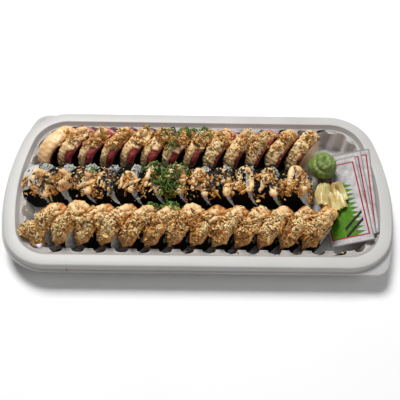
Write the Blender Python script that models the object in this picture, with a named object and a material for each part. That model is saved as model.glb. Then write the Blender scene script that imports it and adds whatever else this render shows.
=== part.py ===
"""Long serving tray of sushi roll slices in three rows, with wasabi, ginger and three sauce sachets.

Metres, +Z up. The origin is the centre of the tray's base, on the plane the tray rests on.
The tray is long in X; its front long side faces -Y.
"""
import math
import random

import bpy
import bmesh
from mathutils import Matrix, Vector

MM = 0.001
rng = random.Random(41)

# Tray: offsets are millimetres outward from the line of the flat lands between the flutes
RIM_Z = 28.0
LAND_A = 166.5
LAND_B = 69.0
LAND_END_R = 206.5
LAND_CORNER_R = 24.9
RIM_IN = 8.5
WALL = 1.0
FLOOR = 1.2
LEDGE_DROP = 4.0
WALL_DRAFT = 3.0
LIP_OUT = RIM_IN + 14.0
TAB_CORNER_R = 15.0
FLUTES = 44
FLUTE_HALF = 6.2
FLUTE_DEPTH = 3.9
END_STEPS = 6
CORNER_STEPS = 6
SIDE_STEPS = 6

# Rows of slices: far row topped with tuna, middle row wrapped in nori, near row topped with salmon
REST_Z = FLOOR + 0.4
FISH_YAW = math.radians(52)
FISH_PITCH = 20.9
FISH_COUNT = 13
TUNA_START = -143.2
SALMON_START = -136.6
NORI_YAW = math.radians(85)
NORI_LEAN = math.radians(-32)
NORI_PITCH = 22.1
NORI_COUNT = 12
NORI_START = -152.2
NORI_HALF_U = 20.3
NORI_HALF_Z = 18.7
LAST_SHIFT = 5.0
LAST_LEAN = math.radians(-38)
LOOSE_END = ((-154.5, -54.5, 29.4), (9.8, 6.8, 4.0))
GAP = 0.7


def clean_start():
    for ob in list(bpy.data.objects):
        bpy.data.objects.remove(ob, do_unlink=True)


def material(name, colour, roughness=0.5):
    mat = bpy.data.materials.new(name)
    mat.use_nodes = True
    shader = mat.node_tree.nodes["Principled BSDF"]
    shader.inputs["Base Color"].default_value = (*colour, 1.0)
    shader.inputs["Roughness"].default_value = roughness
    return mat


def make_object(name, verts, faces, mat=None):
    """Object from points in millimetres and faces as lists of point numbers."""
    mesh = bpy.data.meshes.new(name)
    mesh.from_pydata([tuple(c * MM for c in p) for p in verts], [], faces)
    if mat:
        mesh.materials.append(mat)
    ob = bpy.data.objects.new(name, mesh)
    bpy.context.scene.collection.objects.link(ob)
    outward(ob)
    return ob


def outward(ob):
    bm = bmesh.new()
    bm.from_mesh(ob.data)
    bmesh.ops.recalc_face_normals(bm, faces=bm.faces)
    bm.to_mesh(ob.data)
    bm.free()


def apply_boolean(ob, others, operation):
    """Joins the others to ob, or cuts them from it, and removes them."""
    group = bpy.data.collections.new(ob.name + "_group")
    for other in others:
        group.objects.link(other)
    bpy.context.scene.collection.children.link(group)
    mod = ob.modifiers.new("join", "BOOLEAN")
    mod.operation = operation
    mod.operand_type = "COLLECTION"
    mod.collection = group
    mod.solver = "EXACT"
    bpy.context.view_layer.update()
    graph = bpy.context.evaluated_depsgraph_get()
    mesh = bpy.data.meshes.new_from_object(ob.evaluated_get(graph))
    ob.modifiers.clear()
    ob.data = mesh
    for other in others:
        bpy.data.objects.remove(other, do_unlink=True)
    bpy.data.collections.remove(group)
    tidy_solid(ob)


def tidy_solid(ob):
    """Triangulates, drops slivers and keeps only the largest body."""
    bm = bmesh.new()
    bm.from_mesh(ob.data)
    bmesh.ops.remove_doubles(bm, verts=bm.verts, dist=0.00008)
    bmesh.ops.dissolve_degenerate(bm, edges=bm.edges, dist=0.00005)
    bmesh.ops.dissolve_limit(bm, angle_limit=math.radians(1.5), verts=bm.verts, edges=bm.edges)
    bmesh.ops.triangulate(bm, faces=bm.faces)
    left = set(bm.faces)
    bodies = []
    while left:
        stack = [left.pop()]
        body = set(stack)
        while stack:
            for edge in stack.pop().edges:
                for face in edge.link_faces:
                    if face in left:
                        left.discard(face)
                        body.add(face)
                        stack.append(face)
        bodies.append(body)
    bodies.sort(key=lambda faces: -sum(f.calc_area() for f in faces))
    for body in bodies[1:]:
        bmesh.ops.delete(bm, geom=list(body), context="FACES")
    loose = [v for v in bm.verts if not v.link_faces]
    bmesh.ops.delete(bm, geom=loose, context="VERTS")
    bmesh.ops.recalc_face_normals(bm, faces=bm.faces)
    bm.to_mesh(ob.data)
    bm.free()


def loft(rings, close=False):
    """Points and faces through rings of equal length; the ends are capped unless the loft closes on itself."""
    count = len(rings[0])
    verts = [p for ring in rings for p in ring]
    faces = []
    spans = len(rings) if close else len(rings) - 1
    for r in range(spans):
        nxt = (r + 1) % len(rings)
        for k in range(count):
            j = (k + 1) % count
            faces.append((r * count + k, r * count + j, nxt * count + j, nxt * count + k))
    if not close:
        faces.append(tuple(range(count)))
        faces.append(tuple((len(rings) - 1) * count + k for k in range(count)))
    return verts, faces


# Tray

def corner_shape(offset, corner_r, sx, sy):
    """Centre and turn angle of one corner of the outline, moved outward by offset."""
    end_r = LAND_END_R + offset
    end_x = LAND_A - LAND_END_R
    cy = LAND_B + offset - corner_r
    cx = end_x + math.sqrt((end_r - corner_r) ** 2 - cy ** 2)
    return sx * cx, sy * cy, math.atan2(cy, cx - end_x)


def outline(offset, tab=False):
    """Ring of (place on the outline, x, y) of the bowed tray shape; tab gives two corners a small radius."""
    full_r = LAND_CORNER_R + offset
    radii = {(1, -1): TAB_CORNER_R if tab else full_r, (1, 1): full_r,
             (-1, 1): TAB_CORNER_R if tab else full_r, (-1, -1): full_r}
    end_r = LAND_END_R + offset
    end_x = LAND_A - LAND_END_R
    y_side = LAND_B + offset
    shape = {key: corner_shape(offset, r, *key) for key, r in radii.items()}
    ring = []

    def side(sy, x0, x1, place):
        for k in range(SIDE_STEPS):
            f = k / SIDE_STEPS
            ring.append((place + f, x0 + (x1 - x0) * f, sy * y_side))

    def arc(cx, cy, r, a0, a1, steps, place):
        for k in range(steps):
            f = k / steps
            a = a0 + (a1 - a0) * f
            ring.append((place + f, cx + r * math.cos(a), cy + r * math.sin(a)))

    half = math.pi / 2
    fr, br, bl, fl = shape[(1, -1)], shape[(1, 1)], shape[(-1, 1)], shape[(-1, -1)]
    side(-1, fl[0], fr[0], 0)
    arc(fr[0], fr[1], radii[(1, -1)], -half, -fr[2], CORNER_STEPS, 1)
    arc(end_x, 0, end_r, -fr[2], br[2], END_STEPS, 2)
    arc(br[0], br[1], radii[(1, 1)], br[2], half, CORNER_STEPS, 3)
    side(1, br[0], bl[0], 4)
    arc(bl[0], bl[1], radii[(-1, 1)], half, math.pi - bl[2], CORNER_STEPS, 5)
    arc(-end_x, 0, end_r, math.pi - bl[2], math.pi + fl[2], END_STEPS, 6)
    arc(fl[0], fl[1], radii[(-1, -1)], math.pi + fl[2], 1.5 * math.pi, CORNER_STEPS, 7)
    return ring


def land_segments():
    """Lengths of the eight parts of the land line, starting at the left end of the front side."""
    cx, cy, turn = corner_shape(0, LAND_CORNER_R, 1, 1)
    corner = LAND_CORNER_R * (math.pi / 2 - turn)
    end = LAND_END_R * 2 * turn
    return [2 * cx, corner, end, corner, 2 * cx, corner, end, corner]


def land_point(s, out):
    """Place, x and y at length s along the land line, moved outward."""
    lengths = land_segments()
    s %= sum(lengths)
    part = 0
    while s > lengths[part]:
        s -= lengths[part]
        part += 1
    f = s / lengths[part]
    cx, cy, turn = corner_shape(0, LAND_CORNER_R, 1, 1)
    half = math.pi / 2
    end_x = LAND_A - LAND_END_R
    if part in (0, 4):
        sign = -1 if part == 0 else 1
        return part + f, sign * (cx - 2 * cx * f), sign * (LAND_B + out)
    centre_r = {1: (cx, -cy, LAND_CORNER_R, -half, -turn), 2: (end_x, 0, LAND_END_R, -turn, turn),
                3: (cx, cy, LAND_CORNER_R, turn, half), 5: (-cx, cy, LAND_CORNER_R, half, math.pi - turn),
                6: (-end_x, 0, LAND_END_R, math.pi - turn, math.pi + turn),
                7: (-cx, -cy, LAND_CORNER_R, math.pi + turn, 3 * half)}
    x0, y0, r, a0, a1 = centre_r[part]
    a = a0 + (a1 - a0) * f
    return part + f, x0 + (r + out) * math.cos(a), y0 + (r + out) * math.sin(a)


def flute_ring(out):
    """Scalloped ring: every flute bulges outward from the land line."""
    total = sum(land_segments())
    pitch = total / FLUTES
    start = land_segments()[0] / 2
    ring = []
    for k in range(FLUTES):
        centre = start + (k + 0.5) * pitch
        for side, depth in ((-1, 0), (-0.5, 0.9), (0.5, 0.9), (1, 0)):
            ring.append(land_point(centre + side * FLUTE_HALF, out + depth * FLUTE_DEPTH))
    ring.sort(key=lambda p: p[0])
    return ring


def zip_faces(ring_a, base_a, ring_b, base_b):
    """Triangles between two closed rings that run side by side, stepped by place along the outline."""
    faces = []
    i = j = 0
    na, nb = len(ring_a), len(ring_b)
    while i < na or j < nb:
        next_a = ring_a[(i + 1) % na][0] + (8 if i + 1 >= na else 0)
        next_b = ring_b[(j + 1) % nb][0] + (8 if j + 1 >= nb else 0)
        if j >= nb or (i < na and next_a <= next_b):
            faces.append((base_a + i % na, base_a + (i + 1) % na, base_b + j % nb))
            i += 1
        else:
            faces.append((base_a + i % na, base_b + (j + 1) % nb, base_b + j % nb))
            j += 1
    return faces


def make_tray(mat):
    ledge_z = RIM_Z - LEDGE_DROP
    verts = []
    faces = []

    def add(ring, z):
        base = len(verts)
        verts.extend((x, y, z) for _, x, y in ring)
        return base

    def band(a, b, count):
        for k in range(count):
            j = (k + 1) % count
            faces.append((a + k, a + j, b + j, b + k))

    rim = [(RIM_IN - 3.0, ledge_z, False), (RIM_IN, RIM_Z, False), (RIM_IN + 9.6, RIM_Z, False),
           (RIM_IN + 10.8, RIM_Z - 1.0, False), (RIM_IN + 12.0, RIM_Z - 6.6, False),
           (LIP_OUT, RIM_Z - 7.2, True), (LIP_OUT, RIM_Z - 8.0, True),
           (RIM_IN + 11.0, RIM_Z - 7.8, False), (RIM_IN + 9.6, RIM_Z - 1.2, False),
           (RIM_IN + 0.6, RIM_Z - 1.0, False), (RIM_IN - 2.2, ledge_z - WALL, False)]
    rings = [outline(out, tab) for out, _, tab in rim]
    bases = [add(ring, z) for ring, (_, z, _) in zip(rings, rim)]
    for a, b in zip(bases, bases[1:]):
        band(a, b, len(rings[0]))
    inner_top, inner_low = flute_ring(0), flute_ring(-WALL_DRAFT)
    outer_top, outer_low = flute_ring(WALL), flute_ring(WALL - WALL_DRAFT)
    it, il = add(inner_top, ledge_z), add(inner_low, FLOOR)
    ot, ol = add(outer_top, ledge_z - WALL), add(outer_low, 0)
    count = len(inner_top)
    band(it, il, count)
    band(ot, ol, count)
    faces.extend(zip_faces(rings[0], bases[0], inner_top, it))
    faces.extend(zip_faces(rings[-1], bases[-1], outer_top, ot))
    faces.append(tuple(range(il, il + count)))
    faces.append(tuple(range(ol, ol + count)))
    return make_object("tray", verts, faces, mat)


# Rolls

class Slice:
    """Frame of one roll slice: u runs along the cut face, v through the thickness, t round the section."""

    def __init__(self, x, y, yaw, lean, thick, half_u, half_z):
        self.u = Vector((math.cos(yaw), math.sin(yaw), 0))
        across = Vector((math.sin(yaw), -math.cos(yaw), 0))
        up = Vector((0, 0, 1))
        self.v = across * math.cos(lean) - up * math.sin(lean)
        self.w = up * math.cos(lean) + across * math.sin(lean)
        self.thick = thick
        self.half_u = half_u
        self.half_z = half_z
        lift = thick / 2 * math.sin(abs(lean)) + half_z * math.cos(lean)
        self.centre = Vector((x, y, REST_Z + lift))

    def at(self, t, v, lift=0.0):
        """Point at angle t round the section, t = 0 at the far side and pi at the near side."""
        c, s = math.cos(t), math.sin(t)
        u = (self.half_u + lift) * math.copysign(abs(c) ** 0.8, c)
        w = (self.half_z + lift) * math.copysign(abs(s) ** 0.85, s)
        return self.centre + self.u * u + self.v * v + self.w * w


def slice_body(sl, points):
    rings = []
    for v in (-sl.thick / 2, sl.thick / 2):
        rings.append([tuple(sl.at(2 * math.pi * (k + 0.5) / points, v)) for k in range(points)])
    return loft(rings)


def fish_body(sl, half, far, reach):
    """Roll slice with a fish slab over it, thick in the middle and drawn out to a tip at the near side."""
    rings = []
    for side, lift, tip in ((-1, 1.2, -0.25), (-0.62, 3.4, 0.0), (0.62, 3.4, -0.12), (1, 1.2, -0.35)):
        end = reach + tip
        ring = [(far, 0), (far + 0.03, lift)]
        ring += [(far + (end - far) * f, lift) for f in (0.2, 0.4, 0.6, 0.8)]
        ring += [(end - 0.03, lift), (end, 0), (3.75, 0), (4.4, 0), (5.05, 0), (5.7, 0)]
        rings.append([tuple(sl.at(t, half * side, a)) for t, a in ring])
    return loft(rings)


def strip(sl, stations, width_at, v_at, low, high, t_from, t_to):
    """Flat strip laid round the section from t_from to t_to."""
    rings = []
    for k in range(stations):
        f = k / (stations - 1)
        t = t_from + (t_to - t_from) * f
        half = width_at(f)
        mid = v_at(f)
        shape = [(-half, (low + high) / 2), (-half * 0.65, high), (half * 0.65, high), (half, (low + high) / 2), (0, low)]
        rings.append([tuple(sl.at(t, mid + a, b)) for a, b in shape])
    return loft(rings)


def random_frame():
    axis = Vector((rng.uniform(-1, 1), rng.uniform(-1, 1), rng.uniform(-1, 1))).normalized()
    return Matrix.Rotation(rng.uniform(0, math.pi), 3, axis)


def flake(sl, t, v, lift, size):
    """Bent chip of fried onion."""
    turn = random_frame()
    centre = sl.at(t, v, lift)
    verts = []
    for x, y, z in ((-1, -1, 0), (1, -1, 0), (1, 1, 0), (-1, 1, 0), (-0.7, -0.8, 1), (0.7, -0.8, 1), (0.7, 0.8, 1), (-0.7, 0.8, 1)):
        verts.append(tuple(centre + turn @ Vector((x * size, y * size * 0.55, z * size * 0.6))))
    faces = [(0, 1, 2, 3), (4, 5, 6, 7), (0, 1, 5, 4), (1, 2, 6, 5), (2, 3, 7, 6), (3, 0, 4, 7)]
    return verts, faces


def seed(sl, t, v, lift):
    """Sesame seed lying on the toppings."""
    centre = sl.at(t, v, lift)
    turn = rng.uniform(0, math.pi)
    along = sl.u * math.cos(turn) + sl.v * math.sin(turn)
    out = (sl.at(t, v, 5) - sl.at(t, v, 0)).normalized()
    along = (along - out * along.dot(out)).normalized()
    across = out.cross(along)
    rings = []
    for x, r in ((-1.1, 0.55), (0.6, 0.95)):
        rings.append([tuple(centre + along * x + across * (r * math.cos(a)) + out * (0.7 * r * math.sin(a)))
                      for a in (2 * math.pi * k / 6 for k in range(6))])
    verts, faces = loft(rings)
    faces = faces[:6]
    low, high = len(verts), len(verts) + 1
    verts += [tuple(centre - along * 1.9), tuple(centre + along * 1.6)]
    for k in range(6):
        faces.append((low, k, (k + 1) % 6))
        faces.append((high, 6 + k, 6 + (k + 1) % 6))
    return verts, faces


def is_closed(ob):
    bm = bmesh.new()
    bm.from_mesh(ob.data)
    closed = all(len(edge.link_faces) == 2 for edge in bm.edges)
    bm.free()
    return closed


def fused(make, chips, seeds):
    """Makes a slice, again with new draws when the join isn't closed, and with fewer toppings from the third try."""
    for attempt in range(6):
        fewer = attempt // 2
        ob = make(max(0, chips - fewer), max(0, seeds - fewer))
        if is_closed(ob):
            return ob
        bpy.data.objects.remove(ob, do_unlink=True)
    raise ValueError("a slice would not close")


def fish_slice(name, x, y, yaw, thick, half_u, mat, chips, seeds, tail=None):
    """Slice of roll with a fish slab over the top, sauce, fried onion and seeds fused to it; tail is a loose end of topping."""
    sl = Slice(x, y, yaw, 0, thick - 1.2, half_u + rng.uniform(-0.5, 0.5), rng.uniform(16.6, 17.4))
    half = thick / 2
    reach = math.pi + rng.uniform(0.10, 0.22)
    far = rng.uniform(0.18, 0.32)
    body = make_object(name, *fish_body(sl, half, far, reach), mat)
    body["frame"] = (x, y, yaw, 0, thick, 20.9, 17.0)
    wave = rng.uniform(0, 6)
    sauce = make_object(name + "_sauce", *strip(
        sl, 5, lambda f: half * (0.42 + 0.12 * math.sin(wave + 7 * f)), lambda f: half * 0.2 * math.sin(wave + 4 * f),
        2.0, 5.4, far + rng.uniform(0.2, 0.5), reach - 0.05))
    parts = [sauce]
    if tail:
        parts.append(make_object(name + "_tail", *lump(*tail, 6, 10, tail_wobble)))
    for k in range(chips):
        spot = (0.75 + 1.3 * (k + rng.uniform(0.2, 0.8)) / chips, rng.uniform(-0.45, 0.45) * thick * 0.8)
        parts.append(make_object(name + "_chip", *flake(sl, *spot, 4.0, rng.uniform(2.6, 3.4))))
    for k in range(seeds):
        spot = (1.2 + 1.5 * (k + rng.uniform(0.2, 0.8)) / seeds, rng.uniform(-0.35, 0.35) * thick)
        parts.append(make_object(name + "_seed", *seed(sl, *spot, 4.0)))
    apply_boolean(body, parts, "UNION")
    return body


def nori_slice(name, x, y, yaw, lean, thick, mat, chips, seeds):
    """Slice of roll wrapped in nori that leans on the next, with sauce, onion and seeds fused to it."""
    sl = Slice(x, y, yaw, lean, thick, NORI_HALF_U + rng.uniform(-0.5, 0.5), NORI_HALF_Z + rng.uniform(-0.4, 0.4))
    body = make_object(name, *slice_body(sl, 12), mat)
    body["frame"] = (x, y, yaw, lean, thick, NORI_HALF_U, NORI_HALF_Z)
    wave = rng.uniform(0, 6)
    sauce = make_object(name + "_sauce", *strip(
        sl, 5, lambda f: thick * (0.24 + 0.06 * math.sin(wave + 6 * f)), lambda f: thick * 0.1 * math.sin(wave + 4 * f),
        -1.0, 2.8, rng.uniform(0.9, 1.2), math.pi - rng.uniform(0.15, 0.45)))
    parts = [sauce]
    for k in range(chips):
        spot = (0.9 + 1.4 * (k + rng.uniform(0.2, 0.8)) / chips, rng.uniform(-0.3, 0.3) * thick)
        parts.append(make_object(name + "_chip", *flake(sl, *spot, 1.4, rng.uniform(2.6, 3.4))))
    for k in range(seeds):
        spot = (1.0 + 1.6 * (k + rng.uniform(0.2, 0.8)) / seeds, rng.uniform(-0.3, 0.3) * thick)
        parts.append(make_object(name + "_seed", *seed(sl, *spot, 2.0)))
    apply_boolean(body, parts, "UNION")
    return body


# Condiments

def lump(centre, radii, rows, cols, wobble):
    """Closed lumpy ball."""
    verts = [(centre[0], centre[1], centre[2] - radii[2]), (centre[0], centre[1], centre[2] + radii[2])]
    faces = []
    for r in range(1, rows):
        a = math.pi * r / rows - math.pi / 2
        for c in range(cols):
            b = 2 * math.pi * c / cols
            g = wobble(a, b)
            verts.append((centre[0] + radii[0] * g * math.cos(a) * math.cos(b),
                          centre[1] + radii[1] * g * math.cos(a) * math.sin(b),
                          centre[2] + radii[2] * g * math.sin(a)))
    for c in range(cols):
        n = (c + 1) % cols
        faces.append((0, 2 + n, 2 + c))
        last = 2 + (rows - 2) * cols
        faces.append((1, last + c, last + n))
        for r in range(rows - 2):
            a = 2 + r * cols
            faces.append((a + c, a + n, a + cols + n, a + cols + c))
    return verts, faces


def tail_wobble(a, b):
    """Uneven edge of the loose end."""
    return 1 + 0.07 * math.sin(3 * b + 1.0) + 0.05 * math.cos(5 * b)


def wasabi_wobble(a, b):
    """Folded swirl, flattened underneath."""
    fold = 1 + 0.06 * math.sin(2 * b + 3 * a) + 0.05 * math.cos(3 * b - 5 * a)
    return fold


def ginger_petal(centre, length, width, yaw, tilt, curl):
    """Thin curled slice of ginger."""
    along = Vector((math.cos(yaw) * math.cos(tilt), math.sin(yaw) * math.cos(tilt), math.sin(tilt)))
    side = Vector((-math.sin(yaw), math.cos(yaw), 0))
    out = along.cross(side)
    steps, cols = 4, 4
    top, low = [], []
    for i in range(steps):
        for j in range(cols):
            a, b = i / (steps - 1) - 0.5, j / (cols - 1) - 0.5
            taper = 1 - 0.9 * a * a * 1.6
            p = Vector(centre) + along * (a * length) + side * (b * width * taper)
            p += out * (curl * (math.cos(3.2 * b) - 1) + 1.4 * math.sin(7 * a + 3 * b))
            top.append(tuple(p + out * 0.7))
            low.append(tuple(p - out * 0.7))
    verts = top + low
    n = steps * cols
    faces = []
    for i in range(steps - 1):
        for j in range(cols - 1):
            k = i * cols + j
            faces.append((k, k + 1, k + cols + 1))
            faces.append((k, k + cols + 1, k + cols))
            faces.append((n + k, n + k + cols + 1, n + k + 1))
            faces.append((n + k, n + k + cols, n + k + cols + 1))
    rim = [j for j in range(cols)] + [i * cols + cols - 1 for i in range(1, steps)]
    rim += [(steps - 1) * cols + j for j in range(cols - 2, -1, -1)] + [i * cols for i in range(steps - 2, 0, -1)]
    for a, b in zip(rim, rim[1:] + rim[:1]):
        faces.append((a, n + a, n + b, b))
    return verts, faces


# Sachets: each is given by its near right corner, the direction of its long right side and its size
SACHET_TILT = math.radians(22)
SACHETS = (
    ("sachet_1", (162.0, -59.5, 30.5), 92.7, 41.0, 96.0),
    ("sachet_2", (165.1, -53.0, 29.3), 90.3, 41.0, 96.0),
    ("sachet_3", (168.6, -51.6, 28.4), 86.7, 41.0, 96.0),
)


def sachet_frame(corner, heading):
    """Unit vectors along, across (towards the left side) and out of the sachet."""
    flat_along = Vector((math.cos(math.radians(heading)), math.sin(math.radians(heading)), 0))
    out = Vector((-math.sin(SACHET_TILT), 0, math.cos(SACHET_TILT)))
    along = (flat_along - out * flat_along.dot(out)).normalized()
    return along, out.cross(along), out


def sachet_solid(corner, heading, width, length, swell, grow=0.0):
    """Pillow with flat sealed edges; grow makes the cutter for what lies on it."""
    along, across, out = sachet_frame(corner, heading)
    rows, cols = 7, 5
    top, low = [], []
    for i in range(rows):
        for j in range(cols):
            a, b = i / (rows - 1), j / (cols - 1)
            fill = math.sin(math.pi * a) ** 0.5 * math.sin(math.pi * b) ** 0.6 if 0 < a < 1 and 0 < b < 1 else 0
            p = Vector(corner) + along * (a * length + (a - 0.5) * 2 * grow) + across * (b * width + (b - 0.5) * 2 * grow)
            top.append(tuple(p + out * (0.2 + grow + swell * fill)))
            low.append(tuple(p - out * (0.2 + grow + swell * fill)))
    verts = top + low
    n = rows * cols
    faces = []
    for i in range(rows - 1):
        for j in range(cols - 1):
            k = i * cols + j
            faces.append((k, k + 1, k + cols + 1))
            faces.append((k, k + cols + 1, k + cols))
            faces.append((n + k, n + k + cols + 1, n + k + 1))
            faces.append((n + k, n + k + cols, n + k + cols + 1))
    rim = [j for j in range(cols)] + [i * cols + cols - 1 for i in range(1, rows)]
    rim += [(rows - 1) * cols + j for j in range(cols - 2, -1, -1)] + [i * cols for i in range(rows - 2, 0, -1)]
    for a, b in zip(rim, rim[1:] + rim[:1]):
        faces.append((a, n + a, n + b, b))
    return verts, faces


SWELL = 0.9
CLEAR = 0.5


def sachet_cutters():
    return [make_object(name + "_cutter", *sachet_solid(corner, heading, width, length, SWELL, CLEAR))
            for name, corner, heading, width, length in SACHETS]


def slice_cutter(ob, lift):
    """Block round a slice, for what lies beside it."""
    sl = Slice(*ob["frame"])
    side = sl.thick / 2 + 1
    rings = [[tuple(sl.at(2 * math.pi * k / 10, v, lift)) for k in range(10)] for v in (-side, side)]
    return make_object("slice_cutter", *loft(rings))


def box_cutter(name, lo, hi):
    xs, ys, zs = zip(lo, hi)
    verts = [(x, y, z) for x in xs for y in ys for z in zs]
    faces = [(0, 1, 3, 2), (4, 6, 7, 5), (0, 4, 5, 1), (2, 3, 7, 6), (0, 2, 6, 4), (1, 5, 7, 3)]
    return make_object(name, verts, faces)


def make_rows(mats):
    """The three rows; the pitch is along X, so yawed slices are thinner than the pitch."""
    thick = FISH_PITCH * math.sin(FISH_YAW) - GAP
    for k in range(FISH_COUNT):
        x = TUNA_START + FISH_PITCH * k
        y = 47.4 + rng.uniform(-0.7, 0.7)
        half_u = 19.4 if k == 0 else 20.9
        fused(lambda chips, seeds: fish_slice(f"tuna_roll_{k + 1:02d}", x, y, FISH_YAW, thick, half_u, mats["tuna"],
                                              chips, seeds), 2, 1)
    for k in range(FISH_COUNT):
        x = SALMON_START + FISH_PITCH * k
        y = (-42.6 if k == 0 else -45.0) + rng.uniform(-0.5, 0.5)
        half_u = 17.8 if k == 0 else 20.9
        tail = LOOSE_END if k == 0 else None
        near_last = fused(lambda chips, seeds: fish_slice(f"salmon_roll_{k + 1:02d}", x, y, FISH_YAW, thick, half_u,
                                                          mats["salmon"], chips, seeds, tail), 1, 1 + k % 2)
    thick = NORI_PITCH * math.sin(NORI_YAW) * math.cos(NORI_LEAN) - GAP
    for k in range(NORI_COUNT):
        x = NORI_START + NORI_PITCH * k
        y = 0.6 + rng.uniform(-0.5, 0.5)
        lean = NORI_LEAN
        if k == NORI_COUNT - 1:
            x += LAST_SHIFT
            lean = LAST_LEAN
        middle_last = fused(lambda chips, seeds: nori_slice(f"nori_roll_{k + 1:02d}", x, y, NORI_YAW, lean, thick,
                                                            mats["nori"], chips, seeds), 2, 1)
    return near_last, middle_last


def main():
    clean_start()
    mats = {
        "tray": material("tray_plastic", (0.70, 0.70, 0.69), 0.35),
        "tuna": material("tuna_rolls", (0.42, 0.06, 0.09), 0.4),
        "salmon": material("salmon_rolls", (0.75, 0.26, 0.07), 0.4),
        "nori": material("nori_rolls", (0.02, 0.03, 0.02), 0.5),
        "wasabi": material("wasabi_paste", (0.20, 0.40, 0.14), 0.6),
        "ginger": material("pickled_ginger", (0.75, 0.58, 0.24), 0.4),
        "film": material("sachet_film", (0.62, 0.63, 0.64), 0.3),
    }
    make_tray(mats["tray"])
    near_last, middle_last = make_rows(mats)
    apply_boolean(near_last, sachet_cutters(), "DIFFERENCE")
    wasabi = make_object("wasabi", *lump((122.8, 21.0, 31.0), (13.0, 13.0, 13.2), 8, 12, wasabi_wobble), mats["wasabi"])
    apply_boolean(wasabi, sachet_cutters() + [slice_cutter(middle_last, 4.0)], "DIFFERENCE")
    ginger = make_object("ginger", *lump((127.5, -13.0, 22.5), (10.0, 12.5, 7.5), 5, 9, lambda a, b: 1.0), mats["ginger"])
    petals = [((127, -12, 28), 26, 19, 1.9, 0.1, 3.0), ((133, -15, 28), 26, 16, 1.2, 0.2, 3.5),
              ((126, -20, 28), 22, 16, 2.6, -0.1, 3.0)]
    parts = [make_object("petal", *ginger_petal(*p)) for p in petals]
    apply_boolean(ginger, parts, "UNION")
    cutters = sachet_cutters() + [slice_cutter(near_last, 6.5), slice_cutter(middle_last, 4.0),
                                  box_cutter("floor_cutter", (100, -60, -5), (160, 40, 14))]
    apply_boolean(ginger, cutters, "DIFFERENCE")
    for name, corner, heading, width, length in SACHETS:
        make_object(name, *sachet_solid(corner, heading, width, length, SWELL), mats["film"])


main()
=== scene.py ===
"""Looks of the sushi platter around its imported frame, in millimetres unless a name says metres."""
import math

import bmesh
import bpy
import numpy as np
from mathutils import Matrix, Vector
from mathutils.bvhtree import BVHTree


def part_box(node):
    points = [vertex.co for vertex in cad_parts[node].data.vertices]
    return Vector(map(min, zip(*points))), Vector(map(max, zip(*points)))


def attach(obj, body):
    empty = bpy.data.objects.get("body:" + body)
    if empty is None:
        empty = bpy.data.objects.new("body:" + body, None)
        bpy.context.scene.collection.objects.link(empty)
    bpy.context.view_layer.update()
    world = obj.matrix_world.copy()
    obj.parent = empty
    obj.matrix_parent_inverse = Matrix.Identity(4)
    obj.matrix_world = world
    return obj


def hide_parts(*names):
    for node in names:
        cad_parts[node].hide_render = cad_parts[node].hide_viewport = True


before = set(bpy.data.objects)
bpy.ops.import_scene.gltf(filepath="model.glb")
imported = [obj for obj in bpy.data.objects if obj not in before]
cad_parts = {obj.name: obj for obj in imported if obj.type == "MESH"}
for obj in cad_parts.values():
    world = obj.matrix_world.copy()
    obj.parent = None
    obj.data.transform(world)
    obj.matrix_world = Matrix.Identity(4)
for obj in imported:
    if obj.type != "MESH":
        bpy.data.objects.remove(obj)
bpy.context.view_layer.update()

MM = 0.001
TURN = 2 * math.pi
rng = np.random.default_rng(11)

# Camera, as found from the tray's rim
RIM_Z = 28.0
CAM_TARGET = (1.4, -18.2, RIM_Z)
CAM_DISTANCE = 517.1
CAM_PITCH = math.radians(57.8)
CAM_YAW = math.radians(1.10)
CAM_ROLL = math.radians(1.65)
CAM_LENS = 48.6

# Tray: offsets are outward from the line of the flat lands between the flutes
LAND_A = 166.5
LAND_B = 69.0
LAND_END_R = 206.5
LAND_CORNER_R = 24.9
END_X = LAND_A - LAND_END_R
RIM_IN = 8.5
WALL = 1.0
FLOOR = 1.2
LEDGE_Z = RIM_Z - 4.0
LEDGE_ROWS = 3
SKIRT_OUT = RIM_IN + 12.5
LIP_OUT = RIM_IN + 14.0
TAB_CORNER_R = 15.0
TAB_Z = RIM_Z - 6.95
RIB_PLACES = (0.22, 0.36, 0.5, 0.64, 0.78)
RIB_SECTION = ((-0.55, -0.4), (-0.3, 0.8), (0, 1.0), (0.3, 0.8), (0.55, -0.4))
RIB_RISE = 0.45
FLUTES = 44
FLUTE_HALF = 6.2
FLUTE_DEPTH = 3.9
FLUTE_POWER = 0.9
FLUTE_STEPS = 5
END_STEPS = 26
CORNER_STEPS = 20
SIDE_STEPS = 20
PART_STEPS = (SIDE_STEPS, CORNER_STEPS, END_STEPS, CORNER_STEPS) * 2
PARTS = len(PART_STEPS)
OUTSIDE, LEDGE, INSIDE = 0, 1, 2

# Rows of slices
REST_Z = FLOOR + 0.4
FISH_YAW = math.radians(52)
FISH_PITCH = 20.9
FISH_HALF_U = 20.7
FISH_HALF_Z = 16.9
TUNA_START = -143.2
TUNA_FIRST_HALF_U = 19.2
SALMON_START = -136.6
SALMON_FIRST_HALF_U = 17.6
# Near-row slices whose cut faces show rice; on the others seven nori rings cover most of each face as painted
# shade.
SALMON_RICE_SHOWS = (0, 1, 3)
NORI_YAW = math.radians(85)
NORI_LEAN = math.radians(-32)
NORI_PITCH = 22.1
NORI_START = -152.2
NORI_HALF_U = 20.2
NORI_HALF_Z = 18.7
GREEN_SHOWS = (2, 10, 11)
LAST_SHIFT = 5.0
LAST_LEAN = math.radians(-38)
LOOSE_END = ((-154.5, -54.5, 29.4), (10.4, 7.2, 4.3))
LOOSE_FISH = ((-147.0, -62.0, 26.6), (7.0, 5.0, 2.6))
GAP = 0.7
FISH_THICK = FISH_PITCH * math.sin(FISH_YAW) - GAP
CORE_THICK = FISH_THICK - 1.2
NORI_THICK = NORI_PITCH * math.sin(NORI_YAW) * math.cos(NORI_LEAN) - GAP
FISH_COUNT = 13
NORI_COUNT = 12
RICE, NORI, FISH, SAUCE = 0, 1, 2, 3
FILLING = 2

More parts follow.
